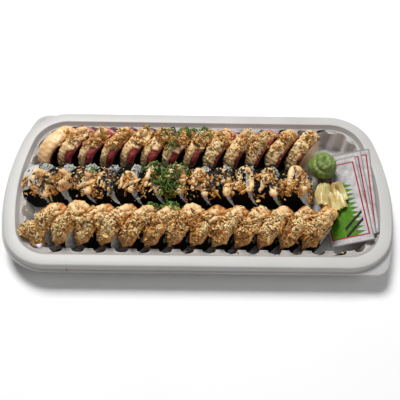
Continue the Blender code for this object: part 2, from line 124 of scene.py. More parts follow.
# A slice's core: roundness of its section, points round it, rows across its wall, rings of its faces, lumps
MEAN_HALF = 20
ROUND_U = 0.8
ROUND_W = 0.85
AROUND = 56
CORE_ROWS = 7
FACE_RINGS = (1.0, 0.985, 0.955, 0.9, 0.8, 0.66, 0.5, 0.32, 0.14)
FLAT_RINGS = 2
FACE_BULGE = 0.55
WALL_LUMP = 0.25
FACE_LUMP = 0.35
FACE_LUMP_FINER = 2.2
BARE_TOP = range(2, 20)

# Heights above a slice's core
SLAB_LOW = -0.3
TUNA_TOP = 3.5
CREAM_LOW = 2.6
SALMON_TOP = 3.9
CRUST_LOW = 2.4
CRUST_TOP = 4.9

# Toppings: steps of a cord between two of its points, and lengths of the onion chips with their shares
CORD_STEPS = 7
CHIP_LENGTHS = (0.6, 1.0, 1.25, 2.3)
CHIP_SHARES = (0.33, 0.43, 0.18, 0.06)
LONG_CHIP = 2.4


# Mesh helpers

class Build:
    """Collects points and faces of one piece, each face with a material number."""

    def __init__(self):
        self.verts = []
        self.faces = []
        self.mats = []
        self.count = 0

    def add(self, verts, faces, mat=0):
        """Adds points, and faces that count from the first of them."""
        verts = np.asarray(verts, float).reshape(-1, 3)
        base = self.count
        self.verts.append(verts)
        self.count += len(verts)
        self.add_faces([[base + i for i in face] for face in faces], mat)

    def add_faces(self, faces, mat=0):
        """Adds faces between points that are there already."""
        self.faces.extend([list(face) for face in faces])
        self.mats.extend([mat] * len(faces))

    def all_verts(self):
        return np.vstack(self.verts)

    def make(self, name, materials, smooth=True, outward=True):
        mesh = bpy.data.meshes.new(name)
        mesh.from_pydata((self.all_verts() * MM).tolist(), [], self.faces)
        if outward:
            bm = bmesh.new()
            bm.from_mesh(mesh)
            bmesh.ops.recalc_face_normals(bm, faces=bm.faces)
            bm.to_mesh(mesh)
            bm.free()
        for mat in materials:
            mesh.materials.append(mat)
        mesh.polygons.foreach_set("material_index", self.mats)
        mesh.polygons.foreach_set("use_smooth", [smooth] * len(mesh.polygons))
        mesh.update()
        return place_object(name, mesh)


def place_object(name, data):
    ob = bpy.data.objects.new(name, data)
    bpy.context.scene.collection.objects.link(ob)
    return ob


def finish_piece(ob, nodes=()):
    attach(ob, "root")
    if nodes:
        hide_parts(*nodes)


def grid_faces(rows, cols, base=0, close_rows=False, close_cols=False, flip=False):
    faces = []
    for r in range(rows if close_rows else rows - 1):
        for c in range(cols if close_cols else cols - 1):
            a = base + r * cols + c
            b = base + r * cols + (c + 1) % cols
            d = base + (r + 1) % rows * cols + c
            e = base + (r + 1) % rows * cols + (c + 1) % cols
            faces.append((a, d, e, b) if flip else (a, b, e, d))
    return faces


def add_sheet(build, top, bottom, mat=0):
    """Closed thin body between two grids of points."""
    rows, cols = top.shape[:2]
    base = build.count
    under = base + rows * cols
    build.add(np.concatenate([top.reshape(-1, 3), bottom.reshape(-1, 3)]), grid_faces(rows, cols), mat)
    edge = list(range(cols)) + [r * cols + cols - 1 for r in range(1, rows)]
    edge += [(rows - 1) * cols + c for c in range(cols - 2, -1, -1)]
    edge += [r * cols for r in range(rows - 2, 0, -1)]
    faces = grid_faces(rows, cols, under, flip=True)
    for p, q in zip(edge, edge[1:] + edge[:1]):
        faces.append((base + p, under + p, under + q, base + q))
    build.add_faces(faces, mat)


def add_tube(build, path, radii, flatten, sides=14):
    """Closed round cord of sauce along a path, with rounded ends."""
    tangent = np.gradient(path, axis=0)
    tangent /= np.linalg.norm(tangent, axis=1)[:, None]
    side = np.cross(tangent, [0, 0, 1.0])
    side /= np.maximum(np.linalg.norm(side, axis=1), 1e-6)[:, None]
    over = np.cross(side, tangent)
    a = TURN * np.arange(sides) / sides
    ring = np.cos(a)[None, :, None] * side[:, None] + flatten * np.sin(a)[None, :, None] * over[:, None]
    base = build.count
    build.add(path[:, None] + radii[:, None, None] * ring, grid_faces(len(path), sides, close_cols=True))
    end = build.count
    build.add([path[0] - tangent[0] * radii[0] * 0.5, path[-1] + tangent[-1] * radii[-1] * 0.5], [])
    for k in range(sides):
        j = (k + 1) % sides
        build.add_faces([(end, base + j, base + k), (end + 1, end - sides + k, end - sides + j)])


def ball_faces(rows, cols):
    """Faces of a ball whose first and last points are its poles."""
    last = 1 + (rows - 2) * cols
    faces = [(0, 1 + (c + 1) % cols, 1 + c) for c in range(cols)]
    faces += grid_faces(rows - 1, cols, 1, close_cols=True)
    return faces + [(last + c, last + (c + 1) % cols, last + cols) for c in range(cols)]


def blob(build, centre, radii, mat, rows, cols, noise, amount):
    """Closed lumpy ball."""
    a = math.pi * np.arange(1, rows) / rows - math.pi / 2
    b = TURN * np.arange(cols) / cols
    wide = np.cos(a)[:, None]
    unit = np.stack([wide * np.cos(b), wide * np.sin(b), np.sin(a)[:, None] + 0 * b], axis=-1)
    pts = np.vstack([[[0, 0, -1.0]], unit.reshape(-1, 3), [[0, 0, 1.0]]]) * np.asarray(radii)
    pts = pts + np.asarray(centre)
    out = pts - np.asarray(centre)
    pts = pts + out / np.maximum(np.linalg.norm(out, axis=1), 1e-6)[:, None] * (amount * noise(pts))[:, None]
    build.add(pts, ball_faces(rows, cols), mat)


class Noise:
    """Smooth lumps: a sum of sine waves in random directions."""

    WAVES = 7

    def __init__(self, size):
        self.dirs = rng.normal(size=(self.WAVES, 3))
        self.dirs /= np.linalg.norm(self.dirs, axis=1)[:, None]
        self.dirs *= (TURN / size) * rng.uniform(0.6, 1.5, (self.WAVES, 1))
        self.phase = rng.uniform(0, TURN, self.WAVES)

    def __call__(self, p):
        return np.sin(np.asarray(p) @ self.dirs.T + self.phase).sum(axis=-1) / math.sqrt(self.WAVES)


def frames_at(normal, spin, tilt):
    """Rotation matrices whose third column is each normal, tipped by tilt and spun by spin."""
    n = normal / np.linalg.norm(normal, axis=1)[:, None]
    ref = np.where(np.abs(n[:, 2:3]) < 0.95, np.array([[0, 0, 1.0]]), np.array([[1.0, 0, 0]]))
    a = np.cross(ref, n)
    a /= np.linalg.norm(a, axis=1)[:, None]
    b = np.cross(n, a)
    x = a * np.cos(spin)[:, None] + b * np.sin(spin)[:, None]
    n2 = n * np.cos(tilt)[:, None] + x * np.sin(tilt)[:, None]
    x2 = x * np.cos(tilt)[:, None] - n * np.sin(tilt)[:, None]
    return np.stack([x2, np.cross(n2, x2), n2], axis=2)


def seed_template(sides, rings):
    """Teardrop of unit half-length along x."""
    verts = [(-1.0, 0, 0)]
    for k in range(1, rings):
        x = -math.cos(math.pi * k / rings)
        r = math.sin(math.pi * k / rings) * (0.82 + 0.18 * x)
        verts += [(x, r * math.cos(TURN * j / sides), r * math.sin(TURN * j / sides)) for j in range(sides)]
    verts.append((1.0, 0, 0))
    return np.array(verts), ball_faces(rings, sides)


def scatter_copies(build, verts, faces, centre, turn, scale):
    """Adds one copy of the template at each centre."""
    moved = np.einsum("kij,knj->kni", turn, verts[None] * scale[:, None, :]) + centre[:, None, :]
    n = len(verts)
    build.add(moved, [[k * n + i for i in face] for k in range(len(centre)) for face in faces])


# Material helpers

class Shader:
    """Small wrapper that adds nodes to one material."""

    def __init__(self, name, roughness, **inputs):
        self.mat = bpy.data.materials.new(name)
        self.mat.use_nodes = True
        self.tree = self.mat.node_tree
        self.bsdf = self.tree.nodes["Principled BSDF"]
        self.bsdf.inputs["Roughness"].default_value = roughness
        for key, value in inputs.items():
            self.bsdf.inputs[key.replace("_", " ")].default_value = value
        self.coords = self.tree.nodes.new("ShaderNodeTexCoord")

    def feed(self, socket, value):
        """Sets a socket to a number or a colour, or links an output to it."""
        if isinstance(value, (int, float)):
            socket.default_value = value
        elif isinstance(value, tuple):
            socket.default_value = (*value, 1)
        else:
            self.tree.links.new(value, socket)

    def noise(self, scale, detail=4.0, roughness=0.6, vector=None, distortion=0.0):
        node = self.tree.nodes.new("ShaderNodeTexNoise")
        node.inputs["Scale"].default_value = scale
        node.inputs["Detail"].default_value = detail
        node.inputs["Roughness"].default_value = roughness
        node.inputs["Distortion"].default_value = distortion
        self.feed(node.inputs["Vector"], vector or self.coords.outputs["Object"])
        return node.outputs["Fac"]

    def cells(self, scale):
        node = self.tree.nodes.new("ShaderNodeTexVoronoi")
        node.inputs["Scale"].default_value = scale
        self.feed(node.inputs["Vector"], self.coords.outputs["Object"])
        return node.outputs["Distance"]

    def island(self):
        return self.tree.nodes.new("ShaderNodeNewGeometry").outputs["Random Per Island"]

    def split(self, source):
        """X and Y of the coordinates."""
        node = self.tree.nodes.new("ShaderNodeSeparateXYZ")
        self.feed(node.inputs[0], self.coords.outputs[source])
        return node.outputs[0], node.outputs[1]

    def mapping(self, scale, turn_z):
        node = self.tree.nodes.new("ShaderNodeMapping")
        node.inputs["Scale"].default_value = scale
        node.inputs["Rotation"].default_value = (0, 0, turn_z)
        self.feed(node.inputs["Vector"], self.coords.outputs["Object"])
        return node.outputs["Vector"]

    def ramp(self, fac, *stops):
        node = self.tree.nodes.new("ShaderNodeValToRGB")
        elements = node.color_ramp.elements
        for element, (place, colour) in zip(elements, (stops[0], stops[-1])):
            element.position = place
            element.color = (*colour, 1)
        for place, colour in stops[1:-1]:
            elements.new(place).color = (*colour, 1)
        self.feed(node.inputs["Fac"], fac)
        return node.outputs["Color"]

    def mix(self, fac, a, b):
        node = self.tree.nodes.new("ShaderNodeMix")
        node.data_type = "RGBA"
        for socket, value in ((node.inputs[0], fac), (node.inputs[6], a), (node.inputs[7], b)):
            self.feed(socket, value)
        return node.outputs[2]

    def math(self, operation, a, b=0.0, clamp=False):
        node = self.tree.nodes.new("ShaderNodeMath")
        node.operation = operation
        node.use_clamp = clamp
        self.feed(node.inputs[0], a)
        self.feed(node.inputs[1], b)
        return node.outputs[0]

    def times(self, a, b):
        return self.math("MULTIPLY", a, b)

    def between(self, value, low, high):
        return self.times(self.math("GREATER_THAN", value, low), self.math("LESS_THAN", value, high))

    def bump(self, height, strength, distance):
        node = self.tree.nodes.new("ShaderNodeBump")
        node.inputs["Strength"].default_value = strength
        node.inputs["Distance"].default_value = distance * MM
        self.feed(node.inputs["Height"], height)
        self.feed(self.bsdf.inputs["Normal"], node.outputs["Normal"])

    def colour(self, output):
        self.feed(self.bsdf.inputs["Base Color"], output)


# Tray

def corner_shape(offset, corner_r):
    """Centre and turn angle of a corner of the outline, moved outward by offset."""
    cy = LAND_B + offset - corner_r
    cx = END_X + math.sqrt((LAND_END_R + offset - corner_r) ** 2 - cy ** 2)
    return cx, cy, math.atan2(cy, cx - END_X)


def outline_parts(offset, full_r, tab_r):
    """Parts of the outline: sides as (y, x from, x to), arcs as (centre x, centre y, radius, from, to)."""
    half = math.pi / 2
    end_r = LAND_END_R + offset
    tx, ty, tab_turn = corner_shape(offset, tab_r)
    fx, fy, turn = corner_shape(offset, full_r)
    return [
        (-LAND_B - offset, -fx, tx),
        (tx, -ty, tab_r, -half, -tab_turn),
        (END_X, 0, end_r, -tab_turn, turn),
        (fx, fy, full_r, turn, half),
        (LAND_B + offset, fx, -tx),
        (-tx, ty, tab_r, half, math.pi - tab_turn),
        (-END_X, 0, end_r, math.pi - tab_turn, math.pi + turn),
        (-fx, -fy, full_r, math.pi + turn, 3 * half),
    ]


def part_point(part, f, out=0.0):
    """Point at the fraction f of one part of the outline, moved outward."""
    if len(part) == 3:
        y, x_from, x_to = part
        return x_from + (x_to - x_from) * f, y + (out if y > 0 else -out)
    cx, cy, r, a_from, a_to = part
    a = a_from + (a_to - a_from) * f
    return cx + (r + out) * math.cos(a), cy + (r + out) * math.sin(a)


def outline(offset, tab=False):
    """Ring of (place on the outline, x, y) of the bowed tray; tab gives two corners a small radius."""
    full_r = LAND_CORNER_R + offset
    tab_r = TAB_CORNER_R - (LIP_OUT - offset) if tab else full_r
    ring = []
    for place, (part, steps) in enumerate(zip(outline_parts(offset, full_r, tab_r), PART_STEPS)):
        ring += [(place + k / steps, *part_point(part, k / steps)) for k in range(steps)]
    return ring


def land_segments():
    """Lengths of the eight parts of the land line, starting at the left end of the front side."""
    cx, cy, turn = corner_shape(0, LAND_CORNER_R)
    corner = LAND_CORNER_R * (math.pi / 2 - turn)
    return [2 * cx, corner, LAND_END_R * 2 * turn, corner] * 2


def land_point(s, out):
    """Place, x and y at length s along the land line, moved outward."""
    lengths = land_segments()
    s %= sum(lengths)
    place = 0
    while s > lengths[place]:
        s -= lengths[place]
        place += 1
    f = s / lengths[place]
    part = outline_parts(0, LAND_CORNER_R, LAND_CORNER_R)[place]
    return (place + f, *part_point(part, f, out))


def flute_ring(out):
    """Scalloped ring: every flute is a smooth half-round that bulges outward from the land line."""
    lengths = land_segments()
    pitch = sum(lengths) / FLUTES
    ring = []
    for k in range(FLUTES):
        centre = lengths[0] / 2 + (k + 0.5) * pitch
        for j in range(-FLUTE_STEPS, FLUTE_STEPS + 1):
            angle = j / FLUTE_STEPS * math.pi / 2
            depth = math.cos(angle) ** FLUTE_POWER if abs(j) < FLUTE_STEPS else 0
            ring.append(land_point(centre + math.sin(angle) * FLUTE_HALF, out + depth * FLUTE_DEPTH))
        ring.append(land_point(centre + pitch / 2, out))
    ring.sort(key=lambda point: point[0])
    return ring


def zip_faces(ring_a, base_a, ring_b, base_b):
    """Triangles between two closed rings that run side by side, stepped by place along the outline."""
    faces = []
    i = j = 0
    na, nb = len(ring_a), len(ring_b)
    while i < na or j < nb:
        next_a = ring_a[(i + 1) % na][0] + (PARTS if i + 1 >= na else 0)
        next_b = ring_b[(j + 1) % nb][0] + (PARTS if j + 1 >= nb else 0)
        if j >= nb or (i < na and next_a <= next_b):
            faces.append((base_a + i % na, base_a + (i + 1) % na, base_b + j % nb))
            i += 1
        else:
            faces.append((base_a + i % na, base_b + (j + 1) % nb, base_b + j % nb))
            j += 1
    return faces


def tray_profile():
    """Rim profile from the ledge over the rim and skirt to the lip and back under: (outward, height, tab)."""
    r = RIM_IN
    top = [(r - 3.4, LEDGE_Z), (r - 2.9, LEDGE_Z + 0.35), (r - 0.6, RIM_Z - 0.7), (r - 0.1, RIM_Z - 0.15),
           (r + 0.6, RIM_Z), (r + 5.0, RIM_Z + 0.02), (r + 9.4, RIM_Z - 0.02), (r + 10.3, RIM_Z - 0.3),
           (r + 10.9, RIM_Z - 1.0), (r + 11.7, RIM_Z - 5.8), (r + 12.0, RIM_Z - 6.5),
           (SKIRT_OUT, RIM_Z - 6.9)]
    lip = [(LIP_OUT - 0.4, RIM_Z - 7.15), (LIP_OUT, RIM_Z - 7.5), (LIP_OUT - 0.3, RIM_Z - 8.0)]
    under = [(r + 11.2, RIM_Z - 7.9), (r + 10.8, RIM_Z - 7.2), (r + 9.9, RIM_Z - 1.8), (r + 9.2, RIM_Z - 1.1),
             (r + 0.8, RIM_Z - 1.0), (r - 1.4, RIM_Z - 3.4), (r - 2.4, LEDGE_Z - WALL)]
    return [(out, z, points is lip) for points in (top, lip, under) for out, z in points]


def add_rings(build, rings, heights, mat, flip=False):
    """Wall through closed rings at their heights; gives the number of its first point."""
    first = build.count
    points = [(x, y, z) for ring, z in zip(rings, heights) for _, x, y in ring]
    build.add(points, grid_faces(len(rings), len(rings[0]), close_cols=True, flip=flip), mat)
    return first


def tray_piece(mats):
    """Tray in one piece; materials: rim and outside, ledge in painted shade, inside wall and floor in painted
    light.
    """
    build = Build()
    outs, heights, tabs = zip(*tray_profile())
    rings = [outline(out, tab) for out, tab in zip(outs, tabs)]
    n = len(rings[0])
    add_rings(build, rings, heights, OUTSIDE)
    build.mats[:LEDGE_ROWS * n] = [LEDGE] * (LEDGE_ROWS * n)
    inner = [(0.5, LEDGE_Z), (0.14, LEDGE_Z - 0.14), (0, LEDGE_Z - 0.5), (-0.7, 19.0), (-1.4, 13.0),
             (-2.1, 8.0), (-2.8, FLOOR + 2.4), (-3.3, FLOOR + 0.9), (-4.4, FLOOR + 0.1), (-5.2, FLOOR)]
    outer = [(-3.2, 0.0), (-2.5, 0.25), (-1.9, 1.2), (-0.4, 12.0), (WALL, LEDGE_Z - WALL)]
    inner_rings = [flute_ring(out) for out, _ in inner]
    outer_rings = [flute_ring(out) for out, _ in outer]
    m = len(inner_rings[0])
    inside = add_rings(build, inner_rings, [z for _, z in inner], INSIDE, flip=True)
    outside = add_rings(build, outer_rings, [z for _, z in outer], OUTSIDE, flip=True)
    floor = inside + (len(inner) - 1) * m
    build.add_faces(zip_faces(rings[0], 0, inner_rings[0], inside), LEDGE)
    last_rim = (len(rings) - 1) * n
    under = zip_faces(rings[-1], last_rim, outer_rings[-1], outside + (len(outer) - 1) * m)
    build.add_faces([face[::-1] for face in under])
    build.add_faces([range(floor, floor + m)], INSIDE)
    build.add_faces([range(outside + m - 1, outside - 1, -1)])
    add_grip_ribs(build)
    return build.make("tray_shell", mats)


def add_grip_ribs(build):
    """Low curved ribs across the two tabs."""
    skirt = np.array(outline(SKIRT_OUT))[:, 1:]
    lip = np.array(outline(LIP_OUT, True))[:, 1:]
    for start in (SIDE_STEPS, 2 * SIDE_STEPS + 2 * CORNER_STEPS + END_STEPS):
        for f in RIB_PLACES:
            trim = 3 + round(6 * f)
            k = np.arange(start + trim, start + CORNER_STEPS - trim + 1)
            line = skirt[k] + (lip[k] - skirt[k]) * f
            side = np.gradient(line, axis=0)
            side = np.c_[side[:, 1], -side[:, 0]] / np.linalg.norm(side, axis=1)[:, None]
            end = np.minimum(np.arange(len(line)), np.arange(len(line))[::-1])
            rise = RIB_RISE * np.clip(end / 2, 0, 1)
            rows = [np.c_[line + side * wide, TAB_Z - 0.2 * f + rise * high] for wide, high in RIB_SECTION]
            build.add(np.stack(rows, axis=1), grid_faces(len(line), len(RIB_SECTION)))


# Slices

class Slice:
    """Frame of one slice: u runs along the cut face, v through the thickness, w up the face."""

    def __init__(self, x, name, yaw, lean, thick, half_u, half_z):
        lo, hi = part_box(name)
        y = (lo[1] + hi[1]) / 2 / MM
        across = np.array([math.sin(yaw), -math.cos(yaw), 0])
        up = np.array([0, 0, 1.0])
        self.u = np.array([math.cos(yaw), math.sin(yaw), 0])
        self.v = across * math.cos(lean) - up * math.sin(lean)
        self.w = up * math.cos(lean) + across * math.sin(lean)
        self.thick = thick
        self.half_u = half_u
        self.half_z = half_z
        lift = thick / 2 * math.sin(abs(lean)) + half_z * math.cos(lean)
        self.centre = np.array([x, y, REST_Z + lift])

    def at(self, t, v, lift=0.0, shrink=1.0):
        """Points at angle t round the section, t = 0 at the far side and pi at the near side."""
        t, v, lift = np.broadcast_arrays(np.asarray(t, float), np.asarray(v, float), np.asarray(lift, float))
        c, s = np.cos(t), np.sin(t)
        u = (self.half_u + lift) * np.copysign(np.abs(c) ** ROUND_U, c) * shrink
        w = (self.half_z + lift) * np.copysign(np.abs(s) ** ROUND_W, s) * shrink
        return self.centre + u[..., None] * self.u + v[..., None] * self.v + w[..., None] * self.w


def add_core(build, sl, noise, skin=3, coat=None, bare=()):
    """Rice wrapped in nori with two lumpy cut faces.

    The ring count says how many rings of a face are nori: a few are the wrapper's edge, more darken the cut
    face as painted shade. coat replaces the right face, bare is the part of the wall without nori.
    """
    t = TURN * np.arange(AROUND) / AROUND
    half = sl.thick / 2
    wall = []
    for v in np.linspace(-half, half, CORE_ROWS):
        p = sl.at(t, v)
        wall.append(p + WALL_LUMP * noise(p)[:, None] * (p - sl.centre) / MEAN_HALF)
    first_face = len(build.mats)
    build.add(wall, grid_faces(CORE_ROWS, AROUND, close_cols=True), NORI)
    for row in range(CORE_ROWS - 1):
        for column in bare:
            build.mats[first_face + row * AROUND + column] = RICE
    for side in (-1, 1):
        rings = [wall[0] if side < 0 else wall[-1]]
        for k, shrink in enumerate(FACE_RINGS[1:], 1):
            if k <= FLAT_RINGS:
                rings.append(sl.at(t, side * half, 0, shrink))
            else:
                p = sl.at(t, side * (half + FACE_BULGE * (1 - shrink ** 2)), 0, shrink)
                rings.append(p + sl.v * (FACE_LUMP * noise(p * FACE_LUMP_FINER))[:, None] * side)
        edge, face = (coat, coat) if coat is not None and side > 0 else (NORI, RICE)
        build.add(rings[:skin], grid_faces(skin, AROUND, close_cols=True, flip=side > 0), edge)
        inner = rings[skin - 1:]
        build.add(inner, grid_faces(len(inner), AROUND, close_cols=True, flip=side > 0), face)
        cap = range(build.count - AROUND, build.count)
        build.add_faces([cap if side > 0 else cap[::-1]], face)


def rise(f, over):
    """Quarter-round rise from 0 to 1 as f goes from 0 to over."""
    return np.sqrt(1 - (1 - np.clip(f / over, 0, 1)) ** 2)


def add_slab(build, sl, t_from, t_to, half, low, high, mat, noise, rows=34, cols=13, sag=0.5, tip=0.25,
             far=0.7, shift=0.0, wave=0.0, offset=0.0, pointed=0.0, ragged=0.0):
    """Closed flat strip laid round the section, rounded at its sides and drawn in at its ends."""
    f = np.linspace(0, 1, rows)[:, None]
    q = np.sin(np.linspace(-1, 1, cols) * math.pi / 2)[None, :]
    t = t_from + (t_to - t_from) * f + 0 * q
    width = half * (tip + (1 - tip) * rise(1 - f, 0.16)) * (far + (1 - far) * rise(f, 0.10))
    if pointed:
        width = width * np.clip((1 - f) / pointed, 0.12, 1)
    along = f * (t_to - t_from) * MEAN_HALF
    width = width * (1 + ragged * (np.sin(along * 0.55 + 3 * half) + 0.6 * np.sin(along * 1.3 + 5 * half)))
    ends = rise(f, 0.05) * rise(1 - f, 0.06)
    drift = offset + shift * np.clip((f - 0.7) / 0.3, 0, 1) ** 1.4 + wave * np.sin(5.0 * f + 1.0)
    v = drift + width * q * np.ones_like(f)
    round_side = np.sqrt(np.clip(1 - np.abs(q) ** 4, 0, 1))
    bumps = noise(sl.at(t, v, (low + high) / 2))
    crown = (high - low) * (0.12 + 0.88 * round_side) * (0.25 + 0.75 * ends)
    top = low + crown + sag * 0.5 * bumps * round_side * ends
    add_sheet(build, sl.at(t, v, top), sl.at(t, v * 0.995, low + 0.1), mat)


def tuna_roll(k, mats):
    """Slice topped with tuna and cream sauce."""
    name = f"tuna_roll_{k + 1:02d}"
    build = Build()
    noise = Noise(9.0)
    fine = Noise(3.4)
    half_u = TUNA_FIRST_HALF_U if k == 0 else FISH_HALF_U
    sl = Slice(TUNA_START + FISH_PITCH * k, name, FISH_YAW, 0, CORE_THICK, half_u, FISH_HALF_Z)
    half = FISH_THICK / 2
    # Eight nori rings cover most of each cut face: painted shade for the dark gaps between the slices.
    add_core(build, sl, noise, skin=8, coat=SAUCE if k == FISH_COUNT - 1 else None)
    far = rng.uniform(0.12, 0.26)
    reach = math.pi + rng.uniform(0.08, 0.20)
    add_slab(build, sl, far, reach, half - 0.15, SLAB_LOW, TUNA_TOP, FISH, noise, tip=0.45, sag=0.45,
             far=0.97)
    if k == 0:
        add_slab(build, sl, far + 0.02, reach - 0.10, half * 0.98, CREAM_LOW, 6.4, SAUCE, fine, rows=44,
                 cols=17, sag=1.3, tip=0.6, shift=half * 0.12, offset=0.6, ragged=0.03)
    else:
        add_cream(build, sl, far, reach, k < 8, fine)
    finish_piece(build.make(name + "_layers", mats), [name])
    return build


def add_cream(build, sl, far, reach, narrow, fine):
    """Strip of cream sauce with a drop at its near end, narrow where more of the tuna shows."""
    half = FISH_THICK / 2
    width = half * (rng.uniform(0.46, 0.60) if narrow else rng.uniform(0.72, 0.92))
    start = far + rng.uniform(0.65, 1.15)
    end = reach - rng.uniform(-0.02, 0.16)
    offset = -half * (rng.uniform(0.24, 0.40) if narrow else rng.uniform(0.06, 0.2))
    top = rng.uniform(5.0, 5.8)
    add_slab(build, sl, start, end, width, CREAM_LOW, top, SAUCE, fine, rows=46, cols=15, sag=1.1, tip=0.6,
             offset=offset, wave=rng.uniform(-0.8, 0.8), ragged=0.07)
    drop = sl.at(end - rng.uniform(0.10, 0.2), offset, 4.0)
    radii = (rng.uniform(3.0, 3.9), rng.uniform(2.6, 3.2), rng.uniform(3.2, 4.4))
    blob(build, drop, radii, SAUCE, 9, 14, fine, 0.3)
    if rng.random() < 0.6:
        upper_end = start + rng.uniform(0.9, 1.5)
        upper_half = half * rng.uniform(0.7, 0.95)
        add_slab(build, sl, start + 0.1, upper_end, upper_half, CREAM_LOW, 4.9, SAUCE, fine, rows=30, cols=13,
                 sag=1.2, offset=rng.uniform(-1, 1.5), ragged=0.10)


def salmon_roll(k, mats):
    """Slice topped with salmon under a rough crust that is drawn out to a point."""
    name = f"salmon_roll_{k + 1:02d}"
    build = Build()
    noise = Noise(9.0)
    fine = Noise(3.0)
    half_u = SALMON_FIRST_HALF_U if k == 0 else FISH_HALF_U
    sl = Slice(SALMON_START + FISH_PITCH * k, name, FISH_YAW, 0, CORE_THICK, half_u, FISH_HALF_Z)
    half = FISH_THICK / 2
    rice_shows = k in SALMON_RICE_SHOWS
    # Seven nori rings on the slices without rice cover most of each cut face: painted shade.
    add_core(build, sl, noise, skin=3 if rice_shows else 7)
    if rice_shows:
        add_grains(build, sl, 1, 60)
    far = rng.uniform(0.14, 0.28)
    reach = math.pi + rng.uniform(0.10, 0.24)
    add_slab(build, sl, far, reach, half + 0.1, SLAB_LOW, SALMON_TOP, FISH, noise, tip=0.3, shift=-half * 0.3,
             sag=0.9, pointed=0.22, far=0.95)
    start = rng.uniform(0.95, 1.4)
    end = reach - rng.uniform(0.12, 0.50)
    width = half * rng.uniform(0.96, 1.1)
    add_slab(build, sl, start, end, width, CRUST_LOW, CRUST_TOP, SAUCE, fine, rows=46, cols=17, sag=1.5,
             tip=0.3, shift=-half * 0.3, ragged=0.09, pointed=0.30)
    if rng.random() < 0.75:
        end = rng.uniform(1.9, 2.5)
        width = half * rng.uniform(0.6, 0.85)
        add_slab(build, sl, 1.15, end, width, 4.2, 6.4, SAUCE, fine, rows=30, cols=13, sag=1.5,
                 offset=rng.uniform(-1.5, 1.5), ragged=0.12)
    if k == 0:
        blob(build, *LOOSE_END, SAUCE, 16, 26, fine, 0.7)
        blob(build, *LOOSE_FISH, FISH, 10, 16, fine, 0.5)
    finish_piece(build.make(name + "_layers", mats), [name])
    return build


def nori_x(k):
    """Place of a slice of the middle row along X."""
    return NORI_START + NORI_PITCH * k + (LAST_SHIFT if k == NORI_COUNT - 1 else 0)


def nori_roll(k, mats):
    """Leaning slice wrapped in nori, with bits of filling in its cut face."""
    name = f"nori_roll_{k + 1:02d}"
    build = Build()
    noise = Noise(8.0)
    fine = Noise(3.2)
    lean = LAST_LEAN if k == NORI_COUNT - 1 else NORI_LEAN
    sl = Slice(nori_x(k), name, NORI_YAW, lean, NORI_THICK, NORI_HALF_U, NORI_HALF_Z)
    add_core(build, sl, noise, bare=BARE_TOP if k == 0 else ())
    add_grains(build, sl, 1, 260)
    add_grains(build, sl, -1, 60)
    for _ in range(4):
        a, r = rng.uniform(0, TURN), rng.uniform(0.0, 0.30)
        blob(build, sl.at(a, sl.thick / 2 + 0.3, 0, r), (3.0, 2.4, 1.6), FILLING, 6, 9, fine, 0.4)
    if k in GREEN_SHOWS:
        for _ in range(9):
            a = rng.uniform(0.35, 1.0) if k == GREEN_SHOWS[0] else rng.uniform(3.0, 4.2)
            r = rng.uniform(0.55, 0.9)
            blob(build, sl.at(a, sl.thick / 2 + 0.2, 0, r), (1.9, 1.2, 1.0), FILLING, 6, 8, fine, 0.4)
    finish_piece(build.make(name + "_layers", mats), [name])
    return build


def add_grains(build, sl, side, count):
    """Rice grains pressed into a cut face."""
    verts, faces = seed_template(6, 5)
    r = np.sqrt(rng.uniform(0.02, 0.86, count))
    t = rng.uniform(0, TURN, count)
    depth = sl.thick / 2 + FACE_BULGE * (1 - r * r) - 0.42
    centre = np.array([sl.at(a, side * d, 0, s) for a, d, s in zip(t, depth, r)])
    normal = np.repeat((sl.v * side)[None], count, axis=0)
    turn = frames_at(normal, rng.uniform(0, TURN, count), rng.normal(0, 0.3, count))
    scale = np.c_[rng.uniform(2.4, 3.1, count), rng.uniform(1.1, 1.35, count), rng.uniform(0.9, 1.1, count)]
    scatter_copies(build, verts, faces, centre, turn, scale)


# Toppings

